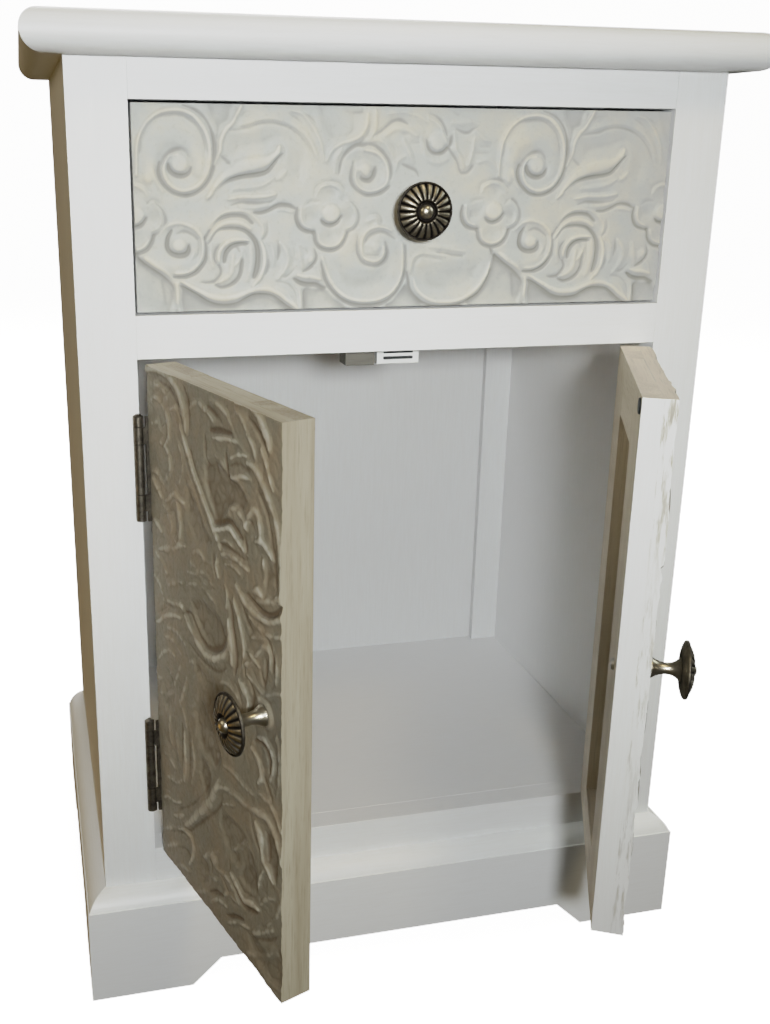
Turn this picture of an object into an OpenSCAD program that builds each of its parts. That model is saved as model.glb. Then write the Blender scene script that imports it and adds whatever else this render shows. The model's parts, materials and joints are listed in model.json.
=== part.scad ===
// Bedside pot cupboard: painted carcass on a bracket-foot plinth, one carved drawer
// over a pair of carved inset doors on five-knuckle butt hinges, fluted rosette knobs.
// Millimetres, +Z up. Origin on the floor at the middle of the back edge, where the cupboard
// stands against a wall; the front looks along -Y.

/* [Carcass] */
// Width across the face frame
body_w = 400; // [380:5:450]
// Depth from the face frame to the back edge
body_d = 295; // [270:5:340]
// Height from the floor to the underside of the top board
body_h = 598; // [580:2:660]
// Thickness of the side panels
side_t = 12; // [10:1:15]
// Height of the carcass's lower edge above the floor
side_lift = 22; // [20:1:30]
// Thickness of the back panel
back_t = 6; // [4:1:8]
// How far the back panel sits in from the back edge
back_inset = 10; // [6:1:14]
// Width of the two battens that hold the back panel
batten_w = 24; // [16:1:30]
// Thickness of those battens
batten_t = 7; // [4:1:10]
// Thickness of the cupboard's floor board
floor_t = 12; // [9:1:15]

/* [Top board] */
// Thickness of the top board, which is also the height of its half-round nose
top_t = 22; // [18:1:28]
// How far the top board stands out at the front and at both sides
top_overhang = 22; // [14:1:30]

/* [Face frame] */
// Thickness of the stiles and rails
frame_t = 17; // [16:1:19]
// Width of the stiles
stile_w = 33.6; // [30:0.2:40]
// Height of the top rail
top_rail_h = 22; // [18:1:30]
// Height of the drawer's opening
drawer_opening_h = 118; // [108:1:130]
// Height of the rail between drawer and doors
middle_rail_h = 25.4; // [22:0.2:32]
// Depth of that rail, which carries the catch
middle_rail_d = 45; // [40:1:60]
// Height of the bottom rail's top edge above the floor
bottom_rail_top = 103.4; // [96:0.2:115]
// Height of the bottom rail
bottom_rail_h = 62; // [45:1:70]

/* [Plinth] */
// Height of the plinth where its moulding meets the carcass
plinth_h = 79; // [74:1:88]
// Height of the plinth's flat face
plinth_face_h = 68; // [60:1:72]
// Thickness of the plinth boards
plinth_t = 13; // [10:1:16]
// Radius of the moulding along the plinth's top
moulding_r = 16; // [14:1:24]
// Small step between the moulding and the flat face
moulding_step = 0.8; // [0.4:0.1:1.6]
// Length of each bracket foot along the floor
foot_l = 68; // [55:1:80]
// Run of the sloped end of each bracket foot
foot_slope = 20; // [12:1:28]
// Height of the cut-out between the feet
foot_rise = 19; // [14:1:19]

/* [Drawer] */
// Gap round the drawer front
drawer_gap = 1.5; // [1:0.1:2.5]
// Thickness of the drawer front with its carving
drawer_front_t = 20; // [18:1:24]
// Thickness of the drawer's sides and back
drawer_side_t = 10; // [8:1:12]
// Height of the drawer's sides
drawer_side_h = 88; // [70:1:96]
// Gap between the shut drawer and the back panel that stops it
drawer_stop_gap = 0.5; // [0.3:0.1:8]
// Thickness of the drawer's bottom
drawer_bottom_t = 4; // [3:0.5:6]
// Height of the bottom's groove above the lower edge of the sides
groove_lift = 9; // [6:1:14]
// Depth of the groove
groove_d = 5; // [3:0.5:6]
// Clearance between the drawer's sides and its guides
slide_clearance = 1; // [0.6:0.1:2]
// How far the drawer's sides run above the runners
run_clearance = 0.3; // [0.3:0.1:0.8]
// Gap between the drawer's sides and the kickers that stop it from tipping
tip_clearance = 1.5; // [0.5:0.5:3]
// Height of the runners and of the kickers
runner_h = 20; // [14:1:24]
// Height of the guide strip on each runner
guide_h = 25; // [15:1:35]

/* [Doors] */
// How far the left door stands open
left_door_angle = 73.6; // [0:0.2:150]
// How far the right door stands open
right_door_angle = 65.8; // [0:0.2:150]
// Thickness of a door, carving and frame together
door_t = 20; // [18:1:22]
// Thickness of the carved panel on a door's face
panel_t = 9; // [8:0.5:9.5]
// Gap above and below each door
door_gap = 1.8; // [1.2:0.1:2.6]
// Gap between a door and its stile, which holds the hinge leaves
hinge_gap = 2; // [1.8:0.1:2.4]
// Gap between the two doors' faces
meeting_gap = 1; // [0.8:0.1:2]
// How far the meeting edges are planed back towards the inside
meeting_bevel = 1.4; // [1.2:0.1:2.4]
// Width of a door's inner stiles
door_stile_w = 46; // [40:1:52]
// Height of a door's upper inner rail
door_top_rail_h = 36; // [28:1:46]
// Height of a door's lower inner rail
door_bottom_rail_h = 27; // [22:1:46]

/* [Carving] */
// Depth of the ground below the plane of the face
relief = 3; // [2:0.5:4]
// Groove that sets off a carved form from those it crosses
groove_w = 1.2; // [0.8:0.1:2]
// Radius of the flat that each knob stands on
knob_pad_r = 8; // [7.5:0.5:10]

/* [Hinges] */
// Length of a hinge
hinge_l = 65; // [55:1:75]
// Distance from a hinge to the nearer end of its door
hinge_inset = 30.6; // [26:0.2:45]
// Metal left behind the hinge screws' heads
leaf_margin = 1.2; // [0.8:0.1:1.6]
// Thickness of a hinge leaf
leaf_t = 1.2; // [1:0.1:1.3]
// Outer radius of the knuckles
knuckle_r = 3; // [2.8:0.1:3.2]
// Radius of the hinge pin
pin_r = 1.5; // [1.3:0.1:1.7]
// Radial clearance round the hinge pin
pin_clearance = 0.05; // [0.02:0.01:0.08]
// Pin's distance in front of the face frame
pin_proud = 3.6; // [3.5:0.1:4.5]
// Pin's distance behind the stile's inner edge, sideways
pin_inset = 1.1; // [0.8:0.1:1.2]
// Length of the two end knuckles
end_knuckle_l = 6.5; // [5:0.5:8]
// Length of the two knuckles on the door leaf
door_knuckle_l = 10.5; // [8:0.5:13]
// Gap between neighbouring knuckles
knuckle_gap = 0.4; // [0.3:0.1:0.6]
// Radius of a hinge screw
hinge_screw_r = 1.4; // [1.2:0.1:1.6]
// Wood between the carved panel and the hinge screws
screw_cover = 0.6; // [0.4:0.1:0.8]
// Length of a hinge screw
hinge_screw_l = 13; // [10:1:16]

/* [Knobs] */
// Diameter of a knob's rosette
knob_d = 33.5; // [30:0.5:36]
// Height of a knob from the face to the top of its bead
knob_h = 25.5; // [22:0.5:30]
// Diameter of a knob's foot
knob_foot_d = 12; // [11:0.5:15]
// Diameter of a knob's neck
knob_neck_d = 6.6; // [6:0.2:8]
// Number of flutes round the rosette
flutes = 16; // [12:1:24]
// Distance from a door knob's centre to the door's meeting edge
knob_inset = 17.2; // [17:0.2:22]
// Height of the door knobs above the floor
knob_z = 273; // [250:1:300]
// Radius of the knob screws
knob_screw_r = 2; // [1.6:0.1:2.2]

/* [Catch] */
// Width of the magnetic catch
catch_w = 28; // [24:1:36]
// Height of the catch below the middle rail
catch_h = 12; // [11:1:15]
// Depth of the catch
catch_d = 15; // [12:1:18]
// Width of the catch's pole plates
pole_w = 19; // [15:1:22]
// Radius of the strike disc on each door
strike_r = 4.5; // [3.5:0.5:5]
// Distance from the strike disc to the door's top and meeting edges
strike_edge = 1.2; // [0.6:0.2:2.6]
// Width of the wooden stop block beside the catch
stop_w = 19; // [14:1:30]

/* [Hidden] */
$fn = 48;

paint = "#e9ecee";
carved_cream = "#d8d6cc";
carved_taupe = "#8d8472";
bare_wood = "#c4a87c";
bronze = "#4a4034";
brass = "#7d6b4b";
steel = "#9a9ca0";
plastic = "#e6e6e0";

// Planes of the carcass
front = -body_d;
back = 0;
back_panel_y = back - back_inset - back_t;
batten_y = back_panel_y - batten_t;
inside_x = body_w / 2 - side_t;
opening_x = body_w / 2 - stile_w;

// Heights of the face frame
drawer_top = body_h - top_rail_h;
drawer_low = drawer_top - drawer_opening_h;
door_opening_top = drawer_low - middle_rail_h;
door_low = bottom_rail_top + door_gap;
door_top = door_opening_top - door_gap;

// The drawer box, outside the guides' clearance
guide_x = min(opening_x, inside_x - batten_w);
drawer_side_x = guide_x - slide_clearance;
drawer_base = drawer_low + run_clearance;
drawer_side_y = front + drawer_front_t;
drawer_end_y = back_panel_y - drawer_stop_gap;

// The doors, drawn shut on the left side of the middle
door_hinge_x = -opening_x + hinge_gap;
door_meeting_x = -meeting_gap / 2;
pin_x = -opening_x - pin_inset;
pin_y = front - pin_proud;
frame_layer_y = front + panel_t;
door_back_y = front + door_t;
upper_hinge_z = door_top - hinge_inset - hinge_l / 2;
lower_hinge_z = door_low + hinge_inset + hinge_l / 2;
door_knob_x = door_meeting_x - knob_inset;

// Fits
fit = 0.05;
joint_gap = 0.2;
strike_t = 1;
pole_t = 1.3;
pole_proud = 0.8;
catch_wall = 3;
screw_head_h = 1.6;
bore_r = pin_r + pin_clearance;

module box(low, high) {
    translate(low) cube(high - low);
}

// One side's piece as drawn, the other side's mirrored
module side(which) {
    if (which < 0) children();
    else mirror([1, 0, 0]) children();
}

// Swings what belongs to a door about its hinge pins
module swing(which) {
    angle = which < 0 ? left_door_angle : right_door_angle;
    side(which) translate([pin_x, pin_y, 0]) rotate([0, 0, -angle]) translate([-pin_x, -pin_y, 0]) children();
}

// Runs a profile drawn in depth and height along the width
module along_width(length) {
    translate([-length / 2, 0, 0]) rotate([90, 0, 90]) linear_extrude(length) children();
}

// ---- carcass ----

// Board section with a half-round nose: one end or both
module nosed_section(length, both) {
    nose = top_t / 2;
    translate([nose, 0]) square([length - (both ? 2 : 1) * nose, top_t]);
    translate([nose, nose]) circle(nose);
    if (both) translate([length - nose, nose]) circle(nose);
}

module top_board() {
    top_w = body_w + 2 * top_overhang;
    top_d = body_d + top_overhang;
    color(paint) intersection() {
        translate([0, front - top_overhang, body_h]) along_width(top_w) nosed_section(top_d, false);
        translate([-top_w / 2, back, body_h]) rotate([90, 0, 0])
            linear_extrude(top_d) nosed_section(top_w, true);
    }
}

module side_panel(which) {
    color(paint) side(which) difference() {
        box([-body_w / 2, front + frame_t, side_lift], [-inside_x, back, body_h]);
        box([-inside_x - side_t / 2, back_panel_y, side_lift - 1],
            [-inside_x + 1, back_panel_y + back_t, body_h + 1]);
    }
}

module back_panel() {
    rebate_x = inside_x + side_t / 2 - fit;
    color(paint) box([-rebate_x, back_panel_y, side_lift], [rebate_x, back_panel_y + back_t - fit, body_h]);
}

module back_batten(which) {
    color(paint) side(which)
        box([-inside_x, batten_y, bottom_rail_top], [-inside_x + batten_w, back_panel_y, body_h]);
}

module cupboard_floor() {
    color(paint) box(
        [-inside_x, front + frame_t, bottom_rail_top - floor_t],
        [inside_x, back_panel_y, bottom_rail_top]);
}

module stile(which) {
    color(paint) side(which) difference() {
        box([-body_w / 2, front, side_lift], [-opening_x, front + frame_t, body_h]);
        for (z = [upper_hinge_z, lower_hinge_z]) leaf_pocket(z);
        for (z = [upper_hinge_z, lower_hinge_z]) frame_leaf_screws(z, fit);
    }
}

module rail(low, high, depth) {
    color(paint) box([-opening_x, front, low], [opening_x, front + depth, high]);
}

// ---- plinth ----

// Section of a plinth board: outwards from the carcass, upwards from the floor
module plinth_section() {
    foot = [plinth_t - moulding_step, plinth_face_h];
    head = [0, plinth_h];
    chord = norm(head - foot);
    outwards = [head[1] - foot[1], foot[0] - head[0]] / chord;
    centre = (head + foot) / 2 - outwards * sqrt(moulding_r * moulding_r - chord * chord / 4);
    square([plinth_t, plinth_face_h]);
    intersection() {
        translate([0, plinth_face_h]) square([plinth_t, plinth_h - plinth_face_h]);
        translate(centre) circle(moulding_r);
    }
}

// Cut-out between two bracket feet, from one end of a board to the other
module foot_cutout(start, end) {
    polygon([
        [start + foot_l, -1], [start + foot_l, 0], [start + foot_l + foot_slope, foot_rise],
        [end - foot_l - foot_slope, foot_rise], [end - foot_l, 0], [end - foot_l, -1],
    ]);
}

module front_plinth() {
    outer_x = body_w / 2 + plinth_t;
    color(paint) difference() {
        intersection() {
            translate([0, front, 0]) mirror([0, 1, 0]) along_width(2 * outer_x) plinth_section();
            linear_extrude(plinth_h) polygon([
                [-body_w / 2, front], [-outer_x, front - plinth_t],
                [outer_x, front - plinth_t], [body_w / 2, front],
            ]);
        }
        translate([0, front + 1, 0]) rotate([90, 0, 0])
            linear_extrude(plinth_t + 2) foot_cutout(-outer_x, outer_x);
    }
}

module side_plinth(which) {
    outer_y = front - plinth_t;
    outer_x = -body_w / 2 - plinth_t;
    color(paint) side(which) difference() {
        intersection() {
            translate([-body_w / 2, back, 0]) rotate([90, 0, 0]) mirror([1, 0, 0])
                linear_extrude(back - outer_y) plinth_section();
            linear_extrude(plinth_h) polygon([
                [-body_w / 2, front], [outer_x, outer_y], [outer_x, back], [-body_w / 2, back],
            ]);
        }
        translate([outer_x - 1, 0, 0]) rotate([90, 0, 90])
            linear_extrude(plinth_t + 2) foot_cutout(outer_y, back);
    }
}

// Plain board behind the back panel, notched over the lower ends of the side panels
module back_plinth() {
    near_y = back_panel_y + back_t;
    color(paint) {
        box([-body_w / 2, near_y, 0], [body_w / 2, back, side_lift]);
        box([-inside_x, near_y, side_lift], [inside_x, back, plinth_h]);
    }
}

// ---- drawer ways ----

module runner(which) {
    ledge_x = drawer_side_x - drawer_side_t - groove_d;
    start_y = front + middle_rail_d;
    end_y = batten_y;
    color(bare_wood) side(which) {
        box([-inside_x, start_y, drawer_low - runner_h], [-ledge_x, end_y, drawer_low]);
        box([-inside_x, start_y, drawer_low], [-guide_x, end_y, drawer_low + guide_h]);
    }
}

module kicker(which) {
    low = drawer_base + drawer_side_h + tip_clearance;
    color(bare_wood) side(which)
        box([-inside_x, drawer_side_y + slide_clearance, low],
            [-drawer_side_x + drawer_side_t, batten_y, low + runner_h]);
}

// ---- hinges, drawn on the left with the pin's axis at pin_x, pin_y ----

// Knuckle spans along a hinge, measured up from its lower end: [start, length, is it the door leaf's]
middle_knuckle_l = hinge_l - 2 * (end_knuckle_l + door_knuckle_l);
knuckles = [
    [0, end_knuckle_l, false],
    [end_knuckle_l, door_knuckle_l, true],
    [end_knuckle_l + door_knuckle_l, middle_knuckle_l, false],
    [hinge_l - end_knuckle_l - door_knuckle_l, door_knuckle_l, true],
    [hinge_l - end_knuckle_l, end_knuckle_l, false],
];
screw_pitch = hinge_l * 0.36;
screw_head_r = 2 * hinge_screw_r;
screw_y = panel_t + screw_cover + hinge_screw_r;
leaf_w = screw_y + screw_head_r + leaf_margin;
leaf_clear = knuckle_r + knuckle_gap;

// The leaf's plate in plan, from the pin: on the stile's edge, or on the door's edge
frame_leaf_x = [-leaf_t + pin_inset, pin_inset];
door_leaf_x = [pin_inset + hinge_gap - leaf_t, pin_inset + hinge_gap];

// Three countersunk screws in a leaf, from the leaf's face into the wood behind it
module leaf_screws(face_x, z, into, grow) {
    for (k = [-1, 0, 1])
        translate([face_x, front + screw_y, z + k * screw_pitch]) rotate([0, 90 * into, 0]) {
            cylinder(r1 = screw_head_r + grow, r2 = hinge_screw_r + grow, h = leaf_t);
            cylinder(r = hinge_screw_r + grow, h = hinge_screw_l + grow);
        }
}

module frame_leaf_screws(z, grow) {
    leaf_screws(-opening_x, z, -1, grow);
}

module door_leaf_screws(z, grow) {
    leaf_screws(door_hinge_x - leaf_t, z, 1, grow);
}

module leaf_pocket(z) {
    box([-opening_x - leaf_t - fit, front - 1, z - hinge_l / 2 - fit],
        [-opening_x + 1, front + leaf_w + fit, z + hinge_l / 2 + fit]);
}

module leaf(z, on_door) {
    plate = on_door ? door_leaf_x : frame_leaf_x;
    root = bore_r + 0.3;
    translate([pin_x, pin_y, z - hinge_l / 2]) difference() {
        union() {
            box([plate[0], leaf_clear, 0], [plate[1], pin_proud + leaf_w, hinge_l]);
            for (k = knuckles) if (k[2] == on_door)
                translate([0, 0, k[0] + knuckle_gap / 2]) {
                    cylinder(r = knuckle_r, h = k[1] - knuckle_gap);
                    box([plate[0], root, 0], [plate[1], leaf_clear + 1, k[1] - knuckle_gap]);
                }
        }
        translate([0, 0, -1]) cylinder(r = bore_r, h = hinge_l + 2);
    }
}

module frame_leaf(which, z) {
    color(bronze) side(which) difference() {
        leaf(z, false);
        frame_leaf_screws(z, fit);
    }
}

module door_leaf(which, z) {
    color(bronze) swing(which) difference() {
        leaf(z, true);
        door_leaf_screws(z, fit);
    }
}

module frame_hinge_screws() {
    color(steel) for (which = [-1, 1], z = [upper_hinge_z, lower_hinge_z])
        side(which) frame_leaf_screws(z, 0);
}

module door_hinge_screws(which) {
    color(steel) for (z = [upper_hinge_z, lower_hinge_z]) swing(which) door_leaf_screws(z, 0);
}

module hinge_pins() {
    head_h = 0.9;
    color(bronze) for (which = [-1, 1], z = [upper_hinge_z, lower_hinge_z])
        side(which) translate([pin_x, pin_y, z - hinge_l / 2]) {
            cylinder(r = pin_r, h = hinge_l);
            translate([0, 0, hinge_l]) cylinder(r1 = pin_r + 0.9, r2 = pin_r, h = head_h);
        }
}

// ---- knobs, standing on their foot with the face towards +Z ----

knob_r = knob_d / 2;
neck_r = knob_neck_d / 2;
neck_z = knob_h * 0.34;
cup_z = knob_h * 0.65;
cup_r = knob_r * 0.4;
rim_z = knob_h * 0.78;
bead_r = knob_r * 0.21;
bead_z = knob_h - 2.6;
well_r = knob_r * 0.38;
face_r = knob_r - 0.5;
face_z = rim_z + 0.9;
face_rise = knob_h - 2 - face_z;

// Half section: foot, hollow neck, cup, rim, dished face, well and bead
knob_section = concat(
    [[0, 0]],
    [for (t = [0 : 1 / 6 : 1])
        [neck_r + (knob_foot_d / 2 - neck_r) * pow(1 - t, 2.4), 0.8 * (1 - t) * t + neck_z * t]],
    [for (t = [1 / 6 : 1 / 6 : 1])
        [neck_r + (cup_r - neck_r) * pow(t, 2.6), neck_z + (cup_z - neck_z) * t]],
    [[knob_r - 1.3, rim_z - 1.9], [knob_r - 0.3, rim_z - 1], [knob_r, rim_z]],
    [for (t = [0 : 0.2 : 1])
        [face_r - (face_r - well_r) * t, face_z + face_rise * sin(90 * t)]],
    [[well_r - 0.6, bead_z - 0.8], [bead_r + 0.5, bead_z - 0.8]],
    [for (a = [0 : 18 : 90]) [bead_r * cos(a), bead_z + (knob_h - bead_z) * sin(a)]]
);

module knob() {
    slope = 1.25 * atan2(face_rise, knob_r - well_r);
    groove_r = PI * knob_d / flutes / 8;
    color(brass) difference() {
        rotate_extrude() polygon(knob_section);
        translate([0, 0, -1]) cylinder(r = knob_screw_r + fit, h = knob_h * 0.55 + 1);
        for (k = [0 : flutes - 1]) rotate([0, 0, 360 / flutes * (k + 0.5)])
            translate([well_r, 0, face_z + face_rise]) rotate([0, 90 + slope, 0])
                cylinder(r1 = groove_r * 0.7, r2 = groove_r * 1.3, h = knob_d);
    }
}

// Pan-headed screw through the wood, into the knob; the head is at z = 0, the wood above it
module knob_screw(through) {
    head_r = knob_screw_r * 1.9;
    color(steel) difference() {
        union() {
            cylinder(r = knob_screw_r, h = through + knob_h * 0.5);
            translate([0, 0, -screw_head_h]) cylinder(r1 = head_r * 0.8, r2 = head_r, h = screw_head_h);
        }
        for (a = [0, 90]) rotate([0, 0, a])
            box([-head_r * 0.6, -0.5, -screw_head_h - 1], [head_r * 0.6, 0.5, -screw_head_h / 2]);
    }
}

module knob_bore(x, z) {
    translate([x, front - 1, z]) rotate([-90, 0, 0])
        cylinder(r = knob_screw_r + fit, h = max(door_t, drawer_front_t) + 2);
}

// Stands a knob on the face at a point, looking out of the front
module at_face(x, z) {
    translate([x, front, z]) rotate([90, 0, 0]) children();
}

// ---- carving: forms drawn on a field, fitted to their panel, all rising to the plane of the face ----

// Point a share t of the way from b to c, on a smooth curve that also nears a and d
function between(a, b, c, d, t) =
    b + t * (c - a) / 2 + t * t * (2 * a - 5 * b + 4 * c - d) / 2 + t * t * t * (3 * b - a - 3 * c + d) / 2;

// A smooth line through chosen points, with one more point between each two
function smooth_line(p) = concat(
    [for (k = [0 : len(p) - 2], t = [0, 0.5])
        between(p[max(k - 1, 0)], p[k], p[k + 1], p[min(k + 2, len(p) - 1)], t)],
    [p[len(p) - 1]]
);

// One edge of a band along a line of [across, up, width] points; way is 1 for the left edge, -1 for the right
function band_edge(line, way, grow) = [
    for (k = [0 : len(line) - 1])
        let (run = line[min(k + 1, len(line) - 1)] - line[max(k - 1, 0)])
        let (out = way * (line[k][2] / 2 + grow) / norm([run[0], run[1]]))
        [line[k][0] - out * run[1], line[k][1] + out * run[0]]
];

module band(points, scale_by, grow) {
    line = smooth_line([for (p = points) [p[0] * scale_by[0], p[1] * scale_by[1], p[2]]]);
    right = band_edge(line, -1, grow);
    polygon(concat(band_edge(line, 1, grow), [for (k = [len(right) - 1 : -1 : 0]) right[k]]));
}

// Bands laid one over the other, each later one set off by a groove
module laid(bands, scale_by) {
    last = len(bands) - 1;
    for (k = [0 : last]) difference() {
        band(bands[k], scale_by, 0);
        if (k < last) for (over = [k + 1 : last]) band(bands[over], scale_by, groove_w);
    }
}

// Domes of a pattern: [across, up, radius]
module bosses(places, scale_by, grow) {
    for (p = places) translate([p[0] * scale_by[0], p[1] * scale_by[1]]) circle(p[2] + grow);
}

// Four petals round a boss
module flower() {
    difference() {
        for (a = [0 : 90 : 270]) rotate([0, 0, a]) translate([petal_ring, 0]) circle(petal_r);
        circle(flower_boss_r + groove_w);
    }
    circle(flower_boss_r);
}

petal_r = 8;
petal_ring = 12.4;
flower_boss_r = 5.6;

// The drawer's pattern is drawn on a field of this size; its left part repeats once
drawer_field = [332.8, 118];
drawer_repeat = 216;

arch = [[54, 86, 3], [52.5, 93, 5], [54, 100, 6.5], [59, 106, 7.5], [67, 109.5, 8], [78, 110.5, 8],
    [89, 109, 8], [97, 105, 8], [103, 98, 7.5], [107, 90, 6.5], [108.5, 82, 5], [107, 74, 3]];
hood_leaf = [[44, 66, 2], [50, 73, 6], [57, 79.5, 9], [66, 84, 10.5], [76, 87, 10.5], [84, 90.5, 8.5],
    [89, 95, 5], [90, 99, 2]];
upper_finger = [[47, 68, 1.5], [56, 70.5, 4], [66, 72, 4.6], [76, 72, 4.4], [83, 74, 3.6], [87, 79, 2]];
lower_finger = [[46, 62, 1.5], [58, 62.5, 3.6], [72, 61, 4.2], [82, 62.5, 3.6], [92, 63.5, 1.5]];
volute = [[4.5, 70, 4], [5, 85, 4], [7, 97, 4], [12, 106, 4.5], [20, 111, 5], [28, 112, 5], [36, 109, 4.5],
    [42, 102, 4], [45, 92, 3.8], [43.5, 81, 3.6], [38.5, 73.5, 3.4], [30, 69.8, 3.2], [22.5, 73, 3],
    [18.8, 79.5, 2.8], [19.8, 87, 2.6], [25, 91.5, 2.4]];
corner_leaf = [[3, 33, 2], [9, 28, 5], [16, 23.5, 7], [22, 18, 6.5], [25, 11, 5.5], [25.5, 4, 4], [24, -2, 2]];
snail = [[14, 27, 5], [21, 24.5, 7], [28, 24.5, 7.5], [34, 28, 8], [37.5, 34, 8], [37, 41, 7.5],
    [33, 46.5, 7], [27, 48, 6], [22, 45.5, 5], [19.8, 40.5, 4]];
acanthus = [[42, 38, 2], [43.5, 44, 4], [48, 49.5, 6], [55, 52.8, 7], [62, 52.8, 7], [68.3, 49.5, 6.5],
    [72.7, 43, 6], [75, 35, 6], [75.3, 27, 5.5], [73, 20, 4]];
inner_blade = [[63, 42, 1.5], [59, 38, 4.5], [58, 32, 5.5], [58.5, 26, 5], [62, 21, 3], [66, 20, 1.5]];
outer_blade = [[59, 45, 1.5], [52, 41, 4], [48.5, 34, 5], [47.5, 27, 4.5], [46, 21, 2]];
sprig = [[78, 18, 3], [85, 20, 5], [92, 21, 5], [100, 20, 4.5], [108, 18.5, 3.5], [113, 16, 2]];
vine = [[18, 20.5, 2], [28, 17.5, 4.5], [36, 13.5, 5.5], [45, 9.8, 6.4], [54, 8.6, 6.8], [63, 10.5, 6.4],
    [72, 13.4, 6], [80, 13.4, 5.5], [87, 10, 4.8], [92, 5, 4.2], [97, -1, 3]];
repeat_bosses = [[28, 83, 4.4], [28, 38, 4.2], [101, 31, 5.2]];

left_crest = [[140, 97, 2], [147, 102.5, 4.4], [152, 107, 5], [159, 109, 5], [166, 106, 3.4], [170, 100, 1.5]];
right_crest = [[158, 116, 3], [170, 114.8, 4.4], [179, 111.5, 5], [184.7, 105.5, 4.6], [187.5, 98, 4.2],
    [191, 91, 4.4], [194.5, 84, 3.4], [198, 78, 1.5]];
crest_leaf = [[150, 95, 2], [157, 97, 6.5], [163, 92.5, 8], [167, 85.5, 6.4], [169, 77, 2]];
left_curl = [[119, 75, 3], [120.5, 84, 5], [125, 91, 6], [132, 94.5, 6.5], [141, 93, 6.5], [147.5, 87, 6],
    [149.5, 79.5, 5.5], [147, 72.5, 5], [140.5, 69, 4.6], [133.5, 71, 4.2]];
left_c = [[109, 35, 2], [111.5, 25, 4.6], [116.5, 16, 5.4], [123.5, 9.5, 6], [132, 6, 6.4], [141, 5.6, 6.4],
    [150, 8.5, 6], [156.5, 14.5, 5.4], [159.6, 23, 4.8], [159, 33, 4.2], [156, 42, 3]];
right_c = [[222, 34, 2], [217, 24, 4.6], [213, 15.5, 5.4], [206, 9, 6], [198, 5.5, 6.4], [188, 4.6, 6.4],
    [178, 6.5, 6], [170, 12.5, 5.4], [166.3, 20, 4.8], [168, 27.5, 4.2], [174, 31.8, 4], [183, 33.2, 3.8],
    [192, 33, 2]];
left_c_curl = [[154, 43, 3], [146, 45.4, 4.4], [138, 43.5, 4.4], [134, 38.5, 4.4], [134, 32.5, 4.2],
    [138.6, 28.6, 3.8], [145, 28.2, 2]];
middle_bosses = [[136.2, 82, 4.6], [143.2, 36.4, 3.6], [178, 98, 5.6]];
flowers = [[1.5, 56], [115.5, 57], [217.5, 58], [331.5, 57]];

function shifted(bands, across) = [for (b = bands) [for (p = b) p + [across, 0, 0]]];

// Everything but the flowers, which lie over the bands
module drawer_bands(scale_by) {
    repeated = [arch, hood_leaf, upper_finger, lower_finger, sprig, inner_blade, outer_blade, acanthus,
        corner_leaf, snail, vine, volute];
    for (across = [0, drawer_repeat]) laid(shifted(repeated, across), scale_by);
    laid([left_crest, right_crest, crest_leaf, left_curl, left_c_curl, right_c, left_c], scale_by);
}

// The drawer's carving, across and up from the lower left corner of its opening
module drawer_carving() {
    scale_by = [2 * opening_x / drawer_field[0], drawer_opening_h / drawer_field[1]];
    pad = [opening_x, drawer_opening_h / 2];
    domes = concat(middle_bosses, [for (x = [0, drawer_repeat], p = repeat_bosses) p + [x, 0, 0]]);
    intersection() {
        translate([drawer_gap, drawer_gap])
            square([2 * (opening_x - drawer_gap), drawer_opening_h - 2 * drawer_gap]);
        union() {
            difference() {
                drawer_bands(scale_by);
                for (p = flowers) translate([p[0] * scale_by[0], p[1] * scale_by[1]])
                    circle(petal_ring + petal_r + groove_w - 2);
                bosses(domes, scale_by, groove_w);
                translate(pad) circle(knob_pad_r + groove_w);
            }
            bosses(domes, scale_by, 0);
            for (p = flowers) translate([p[0] * scale_by[0], p[1] * scale_by[1]]) flower();
            translate(pad) circle(knob_pad_r);
        }
    }
}

// ---- drawer ----

drawer_mid_z = (drawer_low + drawer_top) / 2;

module drawer_front() {
    color(carved_cream) difference() {
        union() {
            box([-opening_x + drawer_gap, front + relief, drawer_low + drawer_gap],
                [opening_x - drawer_gap, drawer_side_y, drawer_top - drawer_gap]);
            translate([-opening_x, front + relief + 0.5, drawer_low]) rotate([90, 0, 0])
                linear_extrude(relief + 0.5) drawer_carving();
        }
        knob_bore(0, drawer_mid_z);
        drawer_groove(-drawer_side_x + drawer_side_t - groove_d, drawer_side_y - groove_d, 0);
    }
}

// The space of the drawer's bottom in its grooves, taken in by a clearance for the bottom itself
module drawer_groove(start_x, start_y, clearance) {
    box([start_x + clearance, start_y + clearance, drawer_base + groove_lift + clearance],
        [-start_x - clearance, drawer_end_y - clearance,
         drawer_base + groove_lift + drawer_bottom_t + 2 * fit - clearance]);
}

module drawer_side(which) {
    color(bare_wood) side(which) difference() {
        box([-drawer_side_x, drawer_side_y, drawer_base],
            [-drawer_side_x + drawer_side_t, drawer_end_y, drawer_base + drawer_side_h]);
        drawer_groove(-drawer_side_x + drawer_side_t - groove_d, drawer_side_y - groove_d, 0);
    }
}

module drawer_back() {
    inner_x = drawer_side_x - drawer_side_t;
    color(bare_wood) box(
        [-inner_x, drawer_end_y - drawer_side_t, drawer_base + groove_lift + drawer_bottom_t + 2 * fit],
        [inner_x, drawer_end_y, drawer_base + drawer_side_h]);
}

module drawer_bottom() {
    color(bare_wood) drawer_groove(-drawer_side_x + drawer_side_t - groove_d, drawer_side_y - groove_d, fit);
}

module drawer_knob() {
    at_face(0, drawer_mid_z) knob();
}

module drawer_knob_screw() {
    translate([0, drawer_side_y, drawer_mid_z]) rotate([90, 0, 0]) knob_screw(drawer_front_t);
}

// ---- doors, drawn shut on the left and swung open ----

// The doors' pattern is drawn on a field of this size, across from the hinge edge, up from the lower edge
door_field = [163.9, 325.6];

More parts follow.
